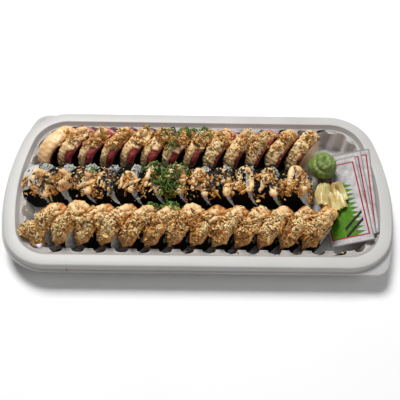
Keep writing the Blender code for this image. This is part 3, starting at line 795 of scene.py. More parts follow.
class Heap:
    """Height map over the food: things dropped on it lie on what is already there."""

    CELL = 0.7
    X_RANGE = (-178, 172)
    Y_RANGE = (-78, 78)
    RAY_FROM = 80
    FOOD_FROM = 12
    STEEP = 1.0
    STEEPEST = 4.0
    LIE_PERCENTILE = 85
    MOST_LIFT = 2.0

    def __init__(self, builds):
        faces = []
        base = 0
        for build in builds:
            faces.extend([[base + i for i in f] for f in build.faces])
            base += build.count
        tree = BVHTree.FromPolygons(np.vstack([build.all_verts() for build in builds]).tolist(), faces)
        self.xs = np.arange(*self.X_RANGE, self.CELL)
        self.ys = np.arange(*self.Y_RANGE, self.CELL)
        self.gx, self.gy = np.meshgrid(self.xs, self.ys, indexing="ij")
        self.top = np.full(self.gx.shape, FLOOR)
        down = Vector((0, 0, -1))
        for i, x in enumerate(self.xs):
            for j, y in enumerate(self.ys):
                hit = tree.ray_cast(Vector((x, y, self.RAY_FROM)), down)[0]
                if hit is not None:
                    self.top[i, j] = hit.z
        self.sauce = np.zeros(self.top.shape)
        self.refresh()

    def refresh(self):
        """Works out the smoothed heights and their slopes again."""
        smooth = self.top.copy()
        n, m = smooth.shape
        for _ in range(3):
            pad = np.pad(smooth, 1, mode="edge")
            smooth = sum(pad[1 + a:1 + a + n, 1 + b:1 + b + m] for a in (-1, 0, 1) for b in (-1, 0, 1)) / 9
        self.smooth = smooth
        self.slope_x, self.slope_y = np.gradient(smooth, self.CELL)
        self.slope = np.hypot(self.slope_x, self.slope_y)

    def index(self, x, y):
        i = np.clip(np.round((np.asarray(x) - self.xs[0]) / self.CELL).astype(int), 0, len(self.xs) - 1)
        j = np.clip(np.round((np.asarray(y) - self.ys[0]) / self.CELL).astype(int), 0, len(self.ys) - 1)
        return i, j

    def patch(self, i, j, reach):
        return self.top[max(i - reach, 0):i + reach + 1, max(j - reach, 0):j + reach + 1]

    def height(self, x, y):
        """Height that a soft cord takes over (x, y): near the highest point close by."""
        patches = [self.patch(a, b, 2) for a, b in zip(*self.index(x, y))]
        return np.array([0.5 * patch.max() + 0.5 * patch.mean() for patch in patches])

    def stamp(self, points, radii):
        """Raises the map to the top of a cord of sauce."""
        for (x, y, z), r in zip(points, radii):
            i, j = self.index(x, y)
            n = int(r / self.CELL)
            for a in range(-n, n + 1):
                for b in range(-n, n + 1):
                    d = math.hypot(a, b) * self.CELL
                    if d < r and 0 <= i + a < len(self.xs) and 0 <= j + b < len(self.ys):
                        high = z + 0.8 * math.sqrt(r * r - d * d)
                        self.top[i + a, j + b] = max(self.top[i + a, j + b], high)
                        self.sauce[i + a, j + b] = 1

    def drop(self, weight, radius, thick, settle=0.3, bare=0.0):
        """Centres and normals of things dropped where weight says, and which of them stay.

        bare is the share kept off the cords of sauce; below 0 it draws things to them.
        """
        count = len(radius)
        p = weight * self.food * np.sqrt(1 + np.minimum(self.slope, 2.5) ** 2) * (1 - bare * self.sauce)
        cells = rng.choice(p.size, size=count, p=p.ravel() / p.sum())
        centres = np.zeros((count, 3))
        normals = np.tile([0, 0, 1.0], (count, 1))
        keep = np.zeros(count, bool)
        for k, cell in enumerate(cells):
            i, j = divmod(int(cell), len(self.ys))
            steep = self.slope[i, j]
            if steep > self.STEEPEST:
                continue
            n = np.array([-self.slope_x[i, j], -self.slope_y[i, j], 1.0])
            n /= np.linalg.norm(n)
            r = max(1, int(round(radius[k] / self.CELL)))
            patch = self.patch(i, j, r)
            base = settle * patch.mean() + (1 - settle) * np.percentile(patch, self.LIE_PERCENTILE)
            base = min(base, self.top[i, j] + self.MOST_LIFT)
            if steep > self.STEEP:
                base = self.smooth[i, j]
            place = [self.xs[i] + rng.uniform(-0.35, 0.35), self.ys[j] + rng.uniform(-0.35, 0.35), base]
            centres[k] = np.array(place) + n * thick[k] * 0.45
            normals[k] = n
            keep[k] = True
            if steep <= self.STEEP:
                under = self.patch(i, j, max(1, r // 2))
                np.maximum(under, base + thick[k] * 0.75, out=under)
        return centres, normals, keep


def band(heap, line, spread, x_from, x_to, clump=0.6, size=9.0, power=4):
    """Weight map of toppings along a row; line is a y value, or pairs of (x, y) that it follows."""
    if isinstance(line, list):
        line = np.interp(heap.gx, *zip(*line))
    shape = np.exp(-np.abs((heap.gy - line) / spread) ** power)
    ends = 1 / (1 + np.exp(-(heap.gx - x_from) / 3)) / (1 + np.exp((heap.gx - x_to) / 3))
    lumps = Noise(size)(np.stack([heap.gx, heap.gy * 0.8, 0 * heap.gx], axis=-1))
    return shape * ends * np.clip(0.5 + clump * lumps, 0.02, None)


def spots(heap, *places):
    """Weight map of patches, each (x, y, x radius, y radius)."""
    return sum(np.exp(-((heap.gx - x) / rx) ** 2 - ((heap.gy - y) / ry) ** 2) for x, y, rx, ry in places)


def chip_templates():
    """Bent ribbons and crumbs of fried onion, unit size."""
    shapes = []
    stations = 4
    for _ in range(10):
        bend = rng.uniform(0.4, 1.5) * rng.choice([-1, 1])
        twist = rng.uniform(-0.9, 0.9)
        verts = []
        for f in np.arange(stations) / (stations - 1) * 2 - 1:
            width = (1 - 0.5 * f * f) * rng.uniform(0.6, 1.1)
            z = bend * (f * f - 0.4) * 0.8
            y0 = rng.uniform(-0.3, 0.3)
            for y, dz in ((-width, -0.16), (width, -0.16), (width, 0.16), (-width, 0.16)):
                wide = y0 + y * math.cos(twist * f)
                high = z + dz + y * math.sin(twist * f) * 0.5
                verts.append((f, wide * 0.55, high * 0.55))
        last = 4 * stations - 1
        faces = grid_faces(stations, 4, close_cols=True, flip=True)
        faces += [(0, 1, 2, 3), (last, last - 1, last - 2, last - 3)]
        shapes.append((np.array(verts), faces))
    for _ in range(6):
        verts, faces = seed_template(5, 4)
        shapes.append((verts * rng.uniform(0.6, 1.3, (len(verts), 1)) * np.array([1, 0.95, 0.8]), faces))
    return shapes


def scatter_chips(heap, name, weight, count, mat, size=(1.1, 2.9)):
    shapes = chip_templates()
    build = Build()
    length = rng.uniform(*size, count) * rng.choice(CHIP_LENGTHS, count, p=CHIP_SHARES)
    length = -np.sort(-length)
    centres, normals, keep = heap.drop(weight, length * 0.7, length * 0.45, settle=0.35, bare=0.88)
    spin = rng.uniform(0, TURN, count)
    tilt = rng.normal(0, 0.55, count) * np.minimum(1, LONG_CHIP / length)
    turn = frames_at(normals, spin, tilt)
    kinds = rng.integers(0, len(shapes), count)
    thin = np.minimum(1, LONG_CHIP / length) ** 0.8
    wide = rng.uniform(0.8, 1.2, count), thin * rng.uniform(0.5, 1.1, count)
    scale = length[:, None] * np.c_[(*wide, thin ** 0.5 * rng.uniform(0.6, 1.1, count))]
    for kind, (verts, faces) in enumerate(shapes):
        pick = keep & (kinds == kind)
        scatter_copies(build, verts, faces, centres[pick], turn[pick], scale[pick])
    finish_piece(build.make(name, [mat], smooth=False, outward=False))
    heap.refresh()


def scatter_seeds(heap, name, weights, mat, size=1.0, bare=0.0):
    verts, faces = seed_template(6, 4)
    build = Build()
    for weight, count in weights:
        centres, normals, keep = heap.drop(weight, np.full(count, 1.0), np.full(count, 0.8), bare=bare)
        turn = frames_at(normals, rng.uniform(0, TURN, count), rng.normal(0, 0.35, count))
        wide = rng.uniform(1.35, 1.75, count), rng.uniform(0.8, 1.0, count)
        scale = size * np.c_[(*wide, rng.uniform(0.45, 0.58, count))]
        scatter_copies(build, verts, faces, centres[keep], turn[keep], scale[keep])
    finish_piece(build.make(name, [mat], outward=False))


def onion_curl(closed, sides=16):
    """Thin cut ring of spring onion, or an open curl of it."""
    squash = rng.uniform(0.45, 0.95)
    a = TURN * np.arange(sides) / sides if closed else np.linspace(0, rng.uniform(3.0, 5.2), sides)
    grow = np.ones(sides) if closed else np.linspace(1.0, rng.uniform(1.2, 1.8), sides)
    wave = 0.22 * np.sin(3 * a + rng.uniform(0, 6))
    height = rng.uniform(0.16, 0.30)
    rings = []
    for r, z in ((1.0, -height), (1.0, height), (0.84, height), (0.84, -height)):
        rings.append(np.c_[r * grow * np.cos(a), r * grow * squash * np.sin(a), z + wave])
    faces = grid_faces(4, sides, close_rows=True, close_cols=closed)
    if not closed:
        faces += [(0, sides, 2 * sides, 3 * sides), (sides - 1, 4 * sides - 1, 3 * sides - 1, 2 * sides - 1)]
    return np.array(rings).reshape(-1, 3), faces


def spring_onion(heap, weights, mat):
    """Thin cut rings and curls of spring onion."""
    build = Build()
    for weight, total in weights:
        for kind in range(4):
            n = total // 4
            centres, normals, keep = heap.drop(weight, np.full(n, 1.6), np.full(n, 1.6))
            turn = frames_at(normals, rng.uniform(0, 6.28, n), rng.normal(0.0, 0.75, n))
            verts, faces = onion_curl(kind < 2)
            size = rng.uniform(2.0, 3.6, (n, 1)) * np.ones((1, 3))
            scatter_copies(build, verts, faces, centres[keep] + normals[keep] * 0.7, turn[keep], size[keep])
    finish_piece(build.make("spring_onion", [mat]))
    heap.refresh()


def smooth_curve(values, steps):
    """Catmull-Rom curve through evenly spaced values."""
    v = np.concatenate([[2 * values[0] - values[1]], values, [2 * values[-1] - values[-2]]])
    k = np.clip(steps.astype(int), 0, len(values) - 2)
    f = steps - k
    a, b, c, d = v[k], v[k + 1], v[k + 2], v[k + 3]
    square = (2 * a - 5 * b + 4 * c - d) * f ** 2
    return 0.5 * (2 * b + (c - a) * f + square + (3 * b - a - 3 * c + d) * f ** 3)


def cord_on_food(build, heap, xy, radii, flatten=0.85):
    """Cord of sauce squeezed over the food along the points xy; its height follows the food softly."""
    xy = np.asarray(xy, float)
    steps = np.linspace(0, len(xy) - 1, (len(xy) - 1) * CORD_STEPS + 1)
    fine = np.c_[smooth_curve(xy[:, 0], steps), smooth_curve(xy[:, 1], steps)]
    r = np.interp(steps, np.arange(len(xy)), radii)
    r = r * (1 + 0.07 * np.sin(steps * 5.1 + xy[0, 0]) + 0.05 * np.sin(steps * 8.7))
    z = heap.height(fine[:, 0], fine[:, 1])
    for _ in range(4):
        z = np.maximum(z - 0.5, np.convolve(np.pad(z, 2, mode="edge"), np.ones(5) / 5, mode="valid"))
    ends = np.minimum(np.arange(len(r)), np.arange(len(r))[::-1])
    path = np.c_[fine, z + r * flatten * 0.75]
    add_tube(build, path, r * rise(ends + 0.8, 4.5), flatten)
    heap.stamp(path, r * rise(ends + 0.8, 4.5))


def middle_sauce(heap, mat):
    """Sauce squeezed to and fro over the middle row, with a thick drop at each near turn."""
    build = Build()
    for k in range(NORI_COUNT):
        x = nori_x(k) + rng.uniform(-1.2, 1.2) + (5.0 if k == 0 else 0)
        far_y = rng.uniform(0.0, 4.0) if k < 5 else rng.uniform(5.0, 10.0)
        near_y = rng.uniform(-19.5, -15.0)
        mid = rng.uniform(-8, -3)
        xy = [(x - 11 + rng.uniform(-1.5, 1.5), near_y + 6), (x - 9, mid - 3), (x - 8, mid + 4),
              (x - 4.5, far_y), (x + 2.5, far_y - 1), (x + 5, mid + 2), (x + 2.5, mid - 4),
              (x + 2 + rng.uniform(-2, 2), near_y)]
        thin = rng.uniform(1.9, 2.6) if k < 5 else rng.uniform(2.2, 2.8)
        swell = (0.7, 0.85, 1.0, 1.2, 1.25, 1.0, 1.2, rng.uniform(1.6, 2.1))
        cord_on_food(build, heap, xy, [thin * f for f in swell], flatten=0.72)
        if rng.random() < 0.6:
            xy = [(x - 7, mid - 7), (x - 2, mid - 3), (x + 4, mid), (x + 9, mid + 5)]
            cord_on_food(build, heap, xy, [1.4, 1.8, 1.7, 1.2])
    thick_drops = ((-128.5, -12.0, 4.4), (-124.0, -13.5, 4.8), (98.5, -13.0, 4.6), (101.0, -9.0, 4.0),
                   (108.5, 6.0, 3.8))
    for x, y, r in thick_drops:
        xy = [(x - 2, y + 1), (x + 1, y), (x + 3, y - 1)]
        cord_on_food(build, heap, xy, [r * 0.8, r, r * 0.8], flatten=0.7)
    finish_piece(build.make("peach_sauce_middle", [mat]))


def near_sauce(heap, mat):
    """Broad strokes of sauce along the far edge of the near row, some of them looped."""
    build = Build()
    for k in range(FISH_COUNT):
        x = SALMON_START + FISH_PITCH * k
        y = -38.0 + rng.uniform(-2.0, 2.0)
        r = rng.uniform(3.2, 4.3)
        if k in (1, 6):
            turn = np.linspace(-0.6, 4.6, 8)
            xy = np.c_[x + 6 + 5.5 * np.cos(turn), y + 1 + 4.5 * np.sin(turn)]
        else:
            reach = rng.uniform(0.55, 1.0)
            xy = [(x - 5, y - 7), (x + 1, y - 3.5), (x + 1 + 6 * reach, y - 3.5 + 4 * reach),
                  (x + 1 + 12 * reach, y - 3.5 + 7 * reach)]
        cord_on_food(build, heap, xy, np.linspace(r * 0.8, r * 1.15, len(xy)), flatten=0.6)
        if rng.random() < 0.6:
            xy = [(x - 1, y - 11), (x + 5, y - 7.5), (x + 12, y - 4)]
            cord_on_food(build, heap, xy, [1.6, 2.2, 1.5])
    finish_piece(build.make("peach_sauce_near", [mat]))


def far_sauce(heap, mat):
    """Lumps and short strokes of cream sauce on top of the far row."""
    build = Build()
    for k in range(1, FISH_COUNT):
        x = TUNA_START + FISH_PITCH * k
        y = 51.5 + rng.uniform(-1.5, 2)
        if rng.random() < 0.75:
            xy = [(x - 3, y - 4), (x + 2, y), (x + 7 + rng.uniform(-1, 2), y + 4.5)]
            radii = [rng.uniform(1.9, 2.8), rng.uniform(2.8, 3.8), rng.uniform(1.8, 2.8)]
            cord_on_food(build, heap, xy, radii)
    finish_piece(build.make("cream_sauce_far", [mat]))


def loose_crumbs(mat, seed_mat):
    """Crumbs and black seeds that fell on the ledge and the skirt."""
    on_ledge = [(-163.5, 18), (-166, -14), (-163, -30), (-165.5, -24), (-158, -52), (-96, -72), (-60, -71.5),
                (-12, -71.5), (36, -72), (92, -71.8), (132, -71.0), (-120, 71.5), (20, 72)]
    places = [(x, y, LEDGE_Z) for x, y in on_ledge] + [(-117.5, -89.8, RIM_Z - 6.6)]
    up = np.array([[0, 0, 1.0]])
    build = Build()
    shapes = chip_templates()
    for x, y, z in places:
        verts, faces = shapes[rng.integers(0, len(shapes))]
        turn = frames_at(up, rng.uniform(0, 6.28, 1), rng.normal(0, 0.2, 1))
        size = np.full((1, 3), rng.uniform(0.8, 1.4))
        scatter_copies(build, verts, faces, np.array([[x, y, z + 0.5]]), turn, size)
    finish_piece(build.make("crumbs_on_ledge", [mat], smooth=False))
    build = Build()
    verts, faces = seed_template(6, 4)
    for x, y in ((-165.3, 6.0), (-161.8, -50.0), (-166.5, -8.0), (-30, -71.7), (74, -72.3)):
        turn = frames_at(up, rng.uniform(0, 6.28, 1), np.zeros(1))
        size = np.array([[1.6, 0.9, 0.5]])
        scatter_copies(build, verts, faces, np.array([[x, y, LEDGE_Z + 0.45]]), turn, size)
    finish_piece(build.make("seeds_on_ledge", [seed_mat]))


def add_toppings(heap, chip):
    far_places = [(-130, 47), (20, 47), (60, 44), (132, 43.5)]
    far_line = band(heap, far_places, 10.0, -133, 132, clump=0.9, size=10, power=6)
    far_line = far_line * (1 - 0.45 * spots(heap, (105, 44, 45, 40)))
    scatter_chips(heap, "fried_onion_far", far_line, 2200, chip)
    bare_rice = 1 - 0.95 * spots(heap, (-147, 6, 10, 9))
    middle_places = [(-160, -10), (-100, -7), (-50, -5), (0, -5), (100, -4)]
    middle_line = band(heap, middle_places, 10.5, -166, 114, clump=0.9, size=13) * bare_rice
    scatter_chips(heap, "fried_onion_middle", middle_line, 1500, chip)
    near_line = band(heap, -54, 13.0, -172, 138, clump=0.4)
    scatter_chips(heap, "fried_onion_near", near_line, 4600, chip, size=(1.0, 2.7))
    on_far = spots(heap, (-42, 58, 10, 5), (-24, 52, 10, 8), (-10, 60, 7, 8), (-30, 40, 6, 9), (4, 52, 8, 5))
    on_middle = spots(heap, (-40, 10, 7, 7), (-34, -6, 8, 10), (-20, 8, 8, 6), (-24, -12, 9, 6))
    on_near = spots(heap, (-38, -28, 6, 8), (-24, -32, 9, 5))
    spring_onion(heap, [(on_far, 112), (on_middle, 112), (on_near, 52)], leaf_material())
    white = seed_material("white_sesame", 0.4, (0.0, (0.68, 0.42, 0.145)), (0.5, (0.88, 0.65, 0.29)),
                          (1.0, (0.97, 0.86, 0.54)))
    black = seed_material("black_sesame", 0.5, (0.0, (0.006, 0.005, 0.005)), (1.0, (0.02, 0.018, 0.016)))
    scatter_seeds(heap, "white_sesame_near", [
        (band(heap, -55, 12, -172, -68, size=14), 1150),
        (band(heap, -55, 12, -66, 20, clump=0.9, size=14), 330),
        (band(heap, -55, 12, 22, 136, size=14), 960),
        (band(heap, -44, 10, -166, 136), 260)], white)
    scatter_seeds(heap, "white_sesame", [
        (band(heap, 44, 15, -10, 130, clump=0.7, size=12), 1350),
        (band(heap, 48, 14, -130, -20, clump=0.7, size=12), 200),
        (band(heap, -3, 14, -160, 112, clump=0.9, size=16), 380)], white)
    black_line = band(heap, -2, 13, -166, 116, clump=1.2, size=13) * bare_rice
    scatter_seeds(heap, "black_sesame", [(black_line, 660)], black, 1.15, bare=-1.5)
    loose_crumbs(chip, black)


# Condiments

WASABI_CENTRE = (122.8, 21.0, 31.0)
WASABI_RADII = (13.0, 13.0, 13.2)
SACHET_WIDTH = 41.0
SACHET_LENGTH = 96.0
SACHET_TILT = math.radians(22)
SACHET_SEAL = 0.055
SACHETS = (
    ("sachet_1", (162.0, -59.5, 30.5), 92.7),
    ("sachet_2", (165.1, -53.0, 29.3), 90.3),
    ("sachet_3", (168.6, -51.6, 28.4), 86.7),
)

# Ginger slices: centre, length, width, yaw, tilt, bend radius and phase of the folds
GINGER_SLICES = (
    ((125.0, -11.0, 24.5), 29, 20, 95, 8, 10.0, 0.4),
    ((120.5, -8.5, 28.0), 27, 15, 80, -6, 6.5, 1.5),
    ((136.5, -11.0, 29.0), 27, 14, 108, 12, 5.5, 3.4),
    ((131.0, -17.5, 27.0), 21, 13, 96, -6, 5.0, 5.2),
    ((139.0, -7.5, 31.0), 19, 10, 114, 20, 4.0, 4.6),
)


def wasabi_piece(mat):
    """Ball of paste pressed into a folded swirl."""
    build = Build()
    rows, cols = 60, 90
    a = np.linspace(-math.pi / 2 + 0.02, math.pi / 2 - 0.02, rows)[:, None]
    b = (TURN * np.arange(cols) / cols)[None, :]
    x, y, z = np.cos(a) * np.cos(b), np.cos(a) * np.sin(b), np.sin(a) + 0 * b
    unit = np.stack([x, y, z], axis=-1)
    turns = np.sin(3 * b + 4.0 * a) * 0.03 + 0.04 * np.sin(2 * b - 3 * a + 1.0)
    swirl = -0.15 * np.exp(-(np.sin(0.5 * b + 2.5 * a - 0.5) / 0.30) ** 2) * np.sqrt(np.cos(a))
    knob = 0.10 * np.exp(-(((x + 0.30) / 0.34) ** 2 + ((y - 0.25) / 0.34) ** 2)) * (z > 0)
    dent = -0.14 * np.exp(-(((x - 0.22) / 0.20) ** 2 + ((y + 0.22) / 0.42) ** 2)) * (z > 0)
    fine = Noise(0.34)(unit) * 0.030 + Noise(0.10)(unit) * 0.012
    r = 1.03 + turns + swirl + knob + dent + fine
    pts = np.array(WASABI_CENTRE) + unit * r[..., None] * np.array(WASABI_RADII)
    build.add(pts, grid_faces(rows, cols, close_cols=True))
    build.add_faces([range(cols)[::-1], range((rows - 1) * cols, rows * cols)])
    keep_above_sachets(build, 0.4)
    finish_piece(build.make("wasabi_paste", [mat]), ["wasabi"])


def sachet_frame(heading):
    """Unit vectors along, across (towards the left side) and out of the sachet."""
    flat = np.array([math.cos(math.radians(heading)), math.sin(math.radians(heading)), 0])
    out = np.array([-math.sin(SACHET_TILT), 0, math.cos(SACHET_TILT)])
    along = flat - out * (flat @ out)
    along /= np.linalg.norm(along)
    return along, np.cross(out, along), out


def keep_above_sachets(build, clear):
    """Lifts points that would dip into the uppermost sachet."""
    _, corner, heading = SACHETS[0]
    out = sachet_frame(heading)[2]
    for verts in build.verts:
        depth = (verts - np.array(corner)) @ out - clear - 0.9
        low = depth < 0
        verts[low] -= out * depth[low][:, None]


def ginger_piece(mat):
    """Thin curled slices of pickled ginger in a loose heap."""
    build = Build()
    a = np.linspace(-0.5, 0.5, 40)[:, None]
    b = np.linspace(-0.5, 0.5, 26)[None, :]
    for centre, length, width, yaw, tilt, bend, phase in GINGER_SLICES:
        yaw, tilt = math.radians(yaw), math.radians(tilt)
        along = np.array([math.cos(yaw) * math.cos(tilt), math.sin(yaw) * math.cos(tilt), math.sin(tilt)])
        side = np.array([-math.sin(yaw), math.cos(yaw), 0])
        out = np.cross(along, side)
        taper = np.sqrt(np.clip(1.0 - (1.9 * a) ** 4, 0.04, 1)) * (1 + 0.10 * np.sin(7 * a + phase))
        turn = b * width * taper / bend
        x = bend * np.sin(turn) + 0.9 * np.sin(5 * a + phase)
        fold = bend * (np.cos(turn) - 1) + 1.3 * np.sin(4.5 * a + phase) + 0.8 * np.sin(9 * b + 3 * a + phase)
        fold = fold + 0.6 * np.sin(15 * a + 2 * phase) * (2 * np.abs(b)) ** 2 + 0.05 * np.sin(30 * b + 5 * a)
        p = np.array(centre) + (a * length)[..., None] * along + x[..., None] * side + fold[..., None] * out
        add_sheet(build, p + out * 0.45, p - out * 0.45)
    keep_above_sachets(build, 0.5)
    finish_piece(build.make("ginger_slices", [mat]), ["ginger"])


def sachet_piece(index, name, corner, heading, mat):
    """Film pillow with sealed, pinked ends; its print comes from the across and along coordinates."""
    along, across, out = sachet_frame(heading)
    rows, cols = 73, 29
    a = np.linspace(0, 1, rows)[:, None]
    b = np.linspace(0, 1, cols)[None, :]
    fa = np.clip((a - SACHET_SEAL) / (1 - 2 * SACHET_SEAL), 0, 1)
    fb = np.clip((b - 0.05) / 0.90, 0, 1)
    fill = np.sin(math.pi * fa) ** 0.4 * np.sin(math.pi * fb) ** 0.7
    y = a * SACHET_LENGTH + 0 * b
    x = b * SACHET_WIDTH + 0 * a
    crinkle = Noise(11.0)(np.stack([y, x, index * 9 + 0 * x], axis=-1))
    fine = Noise(3.5)(np.stack([y, x, index * 5 + 0 * x], axis=-1))
    wrinkle = 0.30 * crinkle + 0.10 * fine
    zig = np.zeros((rows, cols))
    zig[0] = -0.9 * (np.arange(cols) % 2)
    zig[-1] = 0.9 * (np.arange(cols) % 2)
    base_pts = np.array(corner) + (y + zig)[..., None] * along + x[..., None] * across
    top = base_pts + (0.15 + 0.95 * fill + wrinkle * (0.25 + fill))[..., None] * out
    low = base_pts + (-0.15 - 0.75 * fill + wrinkle * 0.25)[..., None] * out
    build = Build()
    add_sheet(build, top, low)
    ob = build.make(name + "_film", [mat])
    uv = ob.data.uv_layers.new(name="print")
    flat = np.concatenate([np.stack([x, y], axis=-1).reshape(-1, 2)] * 2)
    loops = np.zeros(len(ob.data.loops), int)
    ob.data.loops.foreach_get("vertex_index", loops)
    uv.data.foreach_set("uv", flat[loops].ravel())
    finish_piece(ob, [name])


# Materials

TUNA_PALE_FROM = 54.0
TUNA_PALE_OVER = 5.0
BLACK = (0, 0, 0)

# Print of a sachet in millimetres: x from its left side, y from its near end
LINE_OUT = (3.0, 38.0, 6.0, 90.0)
LINE_IN = (4.3, 36.7, 7.3, 88.7)
GREEN_TO = 66.0
SAW_HALF = 2.6
BAR_SLANTS = ((27.0, 30.4), (35.0, 38.4))
BAR_X = (6.0, 24.0)
DOT_X = 29.0
DOT_HALF_PITCH = 3.4
DOT_TO = 86.5


def tray_material(name, light, dark):
    sh = Shader(name, 0.4, Subsurface_Weight=0.1, Subsurface_Scale=0.004, Specular_IOR_Level=0.35)
    cloud = sh.noise(14, 3)
    speck = sh.noise(900, 2)
    tone = sh.ramp(cloud, (0.3, dark), (0.7, light))
    sh.colour(sh.mix(sh.times(speck, 0.10), tone, (0.45, 0.43, 0.40)))
    sh.feed(sh.bsdf.inputs["Roughness"], sh.math("ADD", sh.times(cloud, 0.16), 0.36))
    sh.bump(sh.noise(220, 3), 0.12, 0.25)
    return sh.mat


def rice_material():
    sh = Shader("rice", 0.38, Subsurface_Weight=0.35, Subsurface_Scale=0.002)
    grain = sh.cells(420)
    sh.colour(sh.ramp(grain, (0.0, (0.80, 0.775, 0.74)), (0.6, (0.60, 0.58, 0.56)),
                      (1.0, (0.34, 0.33, 0.32))))
    sh.bump(grain, 0.7, 0.6)
    return sh.mat


def nori_material():
    sh = Shader("nori", 0.6, Specular_IOR_Level=0.06)
    fibre = sh.noise(380, 5, 0.7, distortion=1.2)
    sh.colour(sh.ramp(fibre, (0.3, (0.002, 0.003, 0.002)), (0.55, (0.004, 0.005, 0.004)),
                      (0.8, (0.012, 0.013, 0.009))))
    sh.bump(fibre, 0.8, 0.5)
    return sh.mat


def tuna_material():
    """Deep red with pale lines, and paler at the far ends."""
    sh = Shader("tuna", 0.22, Subsurface_Weight=0.25, Subsurface_Scale=0.003)
    lines = sh.noise(55, 3, vector=sh.mapping((1.0, 5.0, 5.0), math.radians(-30)))
    base = sh.ramp(lines, (0.30, (0.18, 0.020, 0.022)), (0.55, (0.33, 0.045, 0.048)),
                   (0.75, (0.55, 0.16, 0.15)))
    beyond = sh.math("SUBTRACT", sh.split("Object")[1], TUNA_PALE_FROM * MM)
    far_end = sh.math("DIVIDE", beyond, TUNA_PALE_OVER * MM, clamp=True)
    sh.colour(sh.mix(sh.times(far_end, 0.8), base, (0.66, 0.17, 0.20)))
    sh.bump(sh.noise(300, 3), 0.25, 0.3)
    return sh.mat


def salmon_material():
    """Orange with pale bands."""
    sh = Shader("salmon", 0.25, Subsurface_Weight=0.3, Subsurface_Scale=0.003)
    bands = sh.tree.nodes.new("ShaderNodeTexWave")
    bands.inputs["Scale"].default_value = 55
    bands.inputs["Distortion"].default_value = 6
    bands.inputs["Detail Scale"].default_value = 0.6
    sh.feed(bands.inputs["Vector"], sh.mapping((1, 1, 1), math.radians(20)))
    sh.colour(sh.ramp(bands.outputs["Fac"], (0.0, (0.56, 0.19, 0.042)), (0.7, (0.64, 0.26, 0.068)),
                      (1.0, (0.82, 0.50, 0.24))))
    sh.bump(sh.noise(300, 3), 0.2, 0.3)
    return sh.mat


def sauce_material(name, light, dark):
    sh = Shader(name, 0.36, Subsurface_Weight=0.3, Subsurface_Scale=0.003)
    patch = sh.noise(110, 4)
    speck = sh.ramp(sh.noise(700, 2), (0.58, BLACK), (0.75, (0.3, 0.3, 0.3)))
    sh.colour(sh.mix(speck, sh.ramp(patch, (0.38, dark), (0.62, light)), (0.55, 0.30, 0.10)))
    sh.bump(sh.noise(260, 4), 0.35, 0.5)
    return sh.mat


def chip_material():
    """Each chip has a brown of its own, with dark patches."""
    sh = Shader("fried_onion", 0.5, Subsurface_Weight=0.15, Subsurface_Scale=0.001)
    tone = sh.ramp(sh.island(), (0.0, (0.20, 0.070, 0.013)), (0.25, (0.48, 0.20, 0.042)),
                   (0.6, (0.77, 0.38, 0.090)), (1.0, (0.94, 0.63, 0.23)))
    dark = sh.ramp(sh.noise(450, 3), (0.45, BLACK), (0.75, (0.7, 0.7, 0.7)))
    sh.colour(sh.mix(dark, tone, (0.22, 0.07, 0.015)))
    sh.bump(sh.noise(900, 3), 0.5, 0.3)
    return sh.mat


def seed_material(name, roughness, *stops):
    sh = Shader(name, roughness)
    sh.colour(sh.ramp(sh.island(), *stops))
    sh.bump(sh.noise(1200, 2), 0.2, 0.1)
    return sh.mat


def leaf_material():
    sh = Shader("spring_onion", 0.4, Subsurface_Weight=0.2, Subsurface_Scale=0.001)
    sh.colour(sh.ramp(sh.island(), (0.0, (0.030, 0.085, 0.006)), (0.6, (0.075, 0.18, 0.016)),
                      (1.0, (0.24, 0.36, 0.07))))
    sh.bump(sh.noise(700, 2), 0.2, 0.2)
    return sh.mat


def filling_material():
    sh = Shader("green_filling", 0.4)
    sh.colour(sh.ramp(sh.noise(300, 3), (0.3, (0.10, 0.20, 0.02)), (0.7, (0.36, 0.46, 0.10))))
    return sh.mat


def paste_material():
    sh = Shader("wasabi_paste", 0.55, Subsurface_Weight=0.2, Subsurface_Scale=0.002)
    patch = sh.noise(160, 4)
    sh.colour(sh.ramp(patch, (0.3, (0.10, 0.16, 0.034)), (0.55, (0.20, 0.28, 0.068)),
                      (0.8, (0.34, 0.43, 0.14))))
    sh.bump(sh.noise(600, 4), 0.5, 0.4)
    return sh.mat


def ginger_material():
    sh = Shader("pickled_ginger", 0.3, Subsurface_Weight=0.5, Subsurface_Scale=0.003)
    fibre = sh.noise(60, 3, vector=sh.mapping((1, 6, 1), 0.4))
    sh.colour(sh.ramp(fibre, (0.3, (0.60, 0.44, 0.17)), (0.6, (0.70, 0.54, 0.24)),
                      (0.85, (0.80, 0.68, 0.38))))
    sh.bump(fibre, 0.3, 0.4)
    return sh.mat


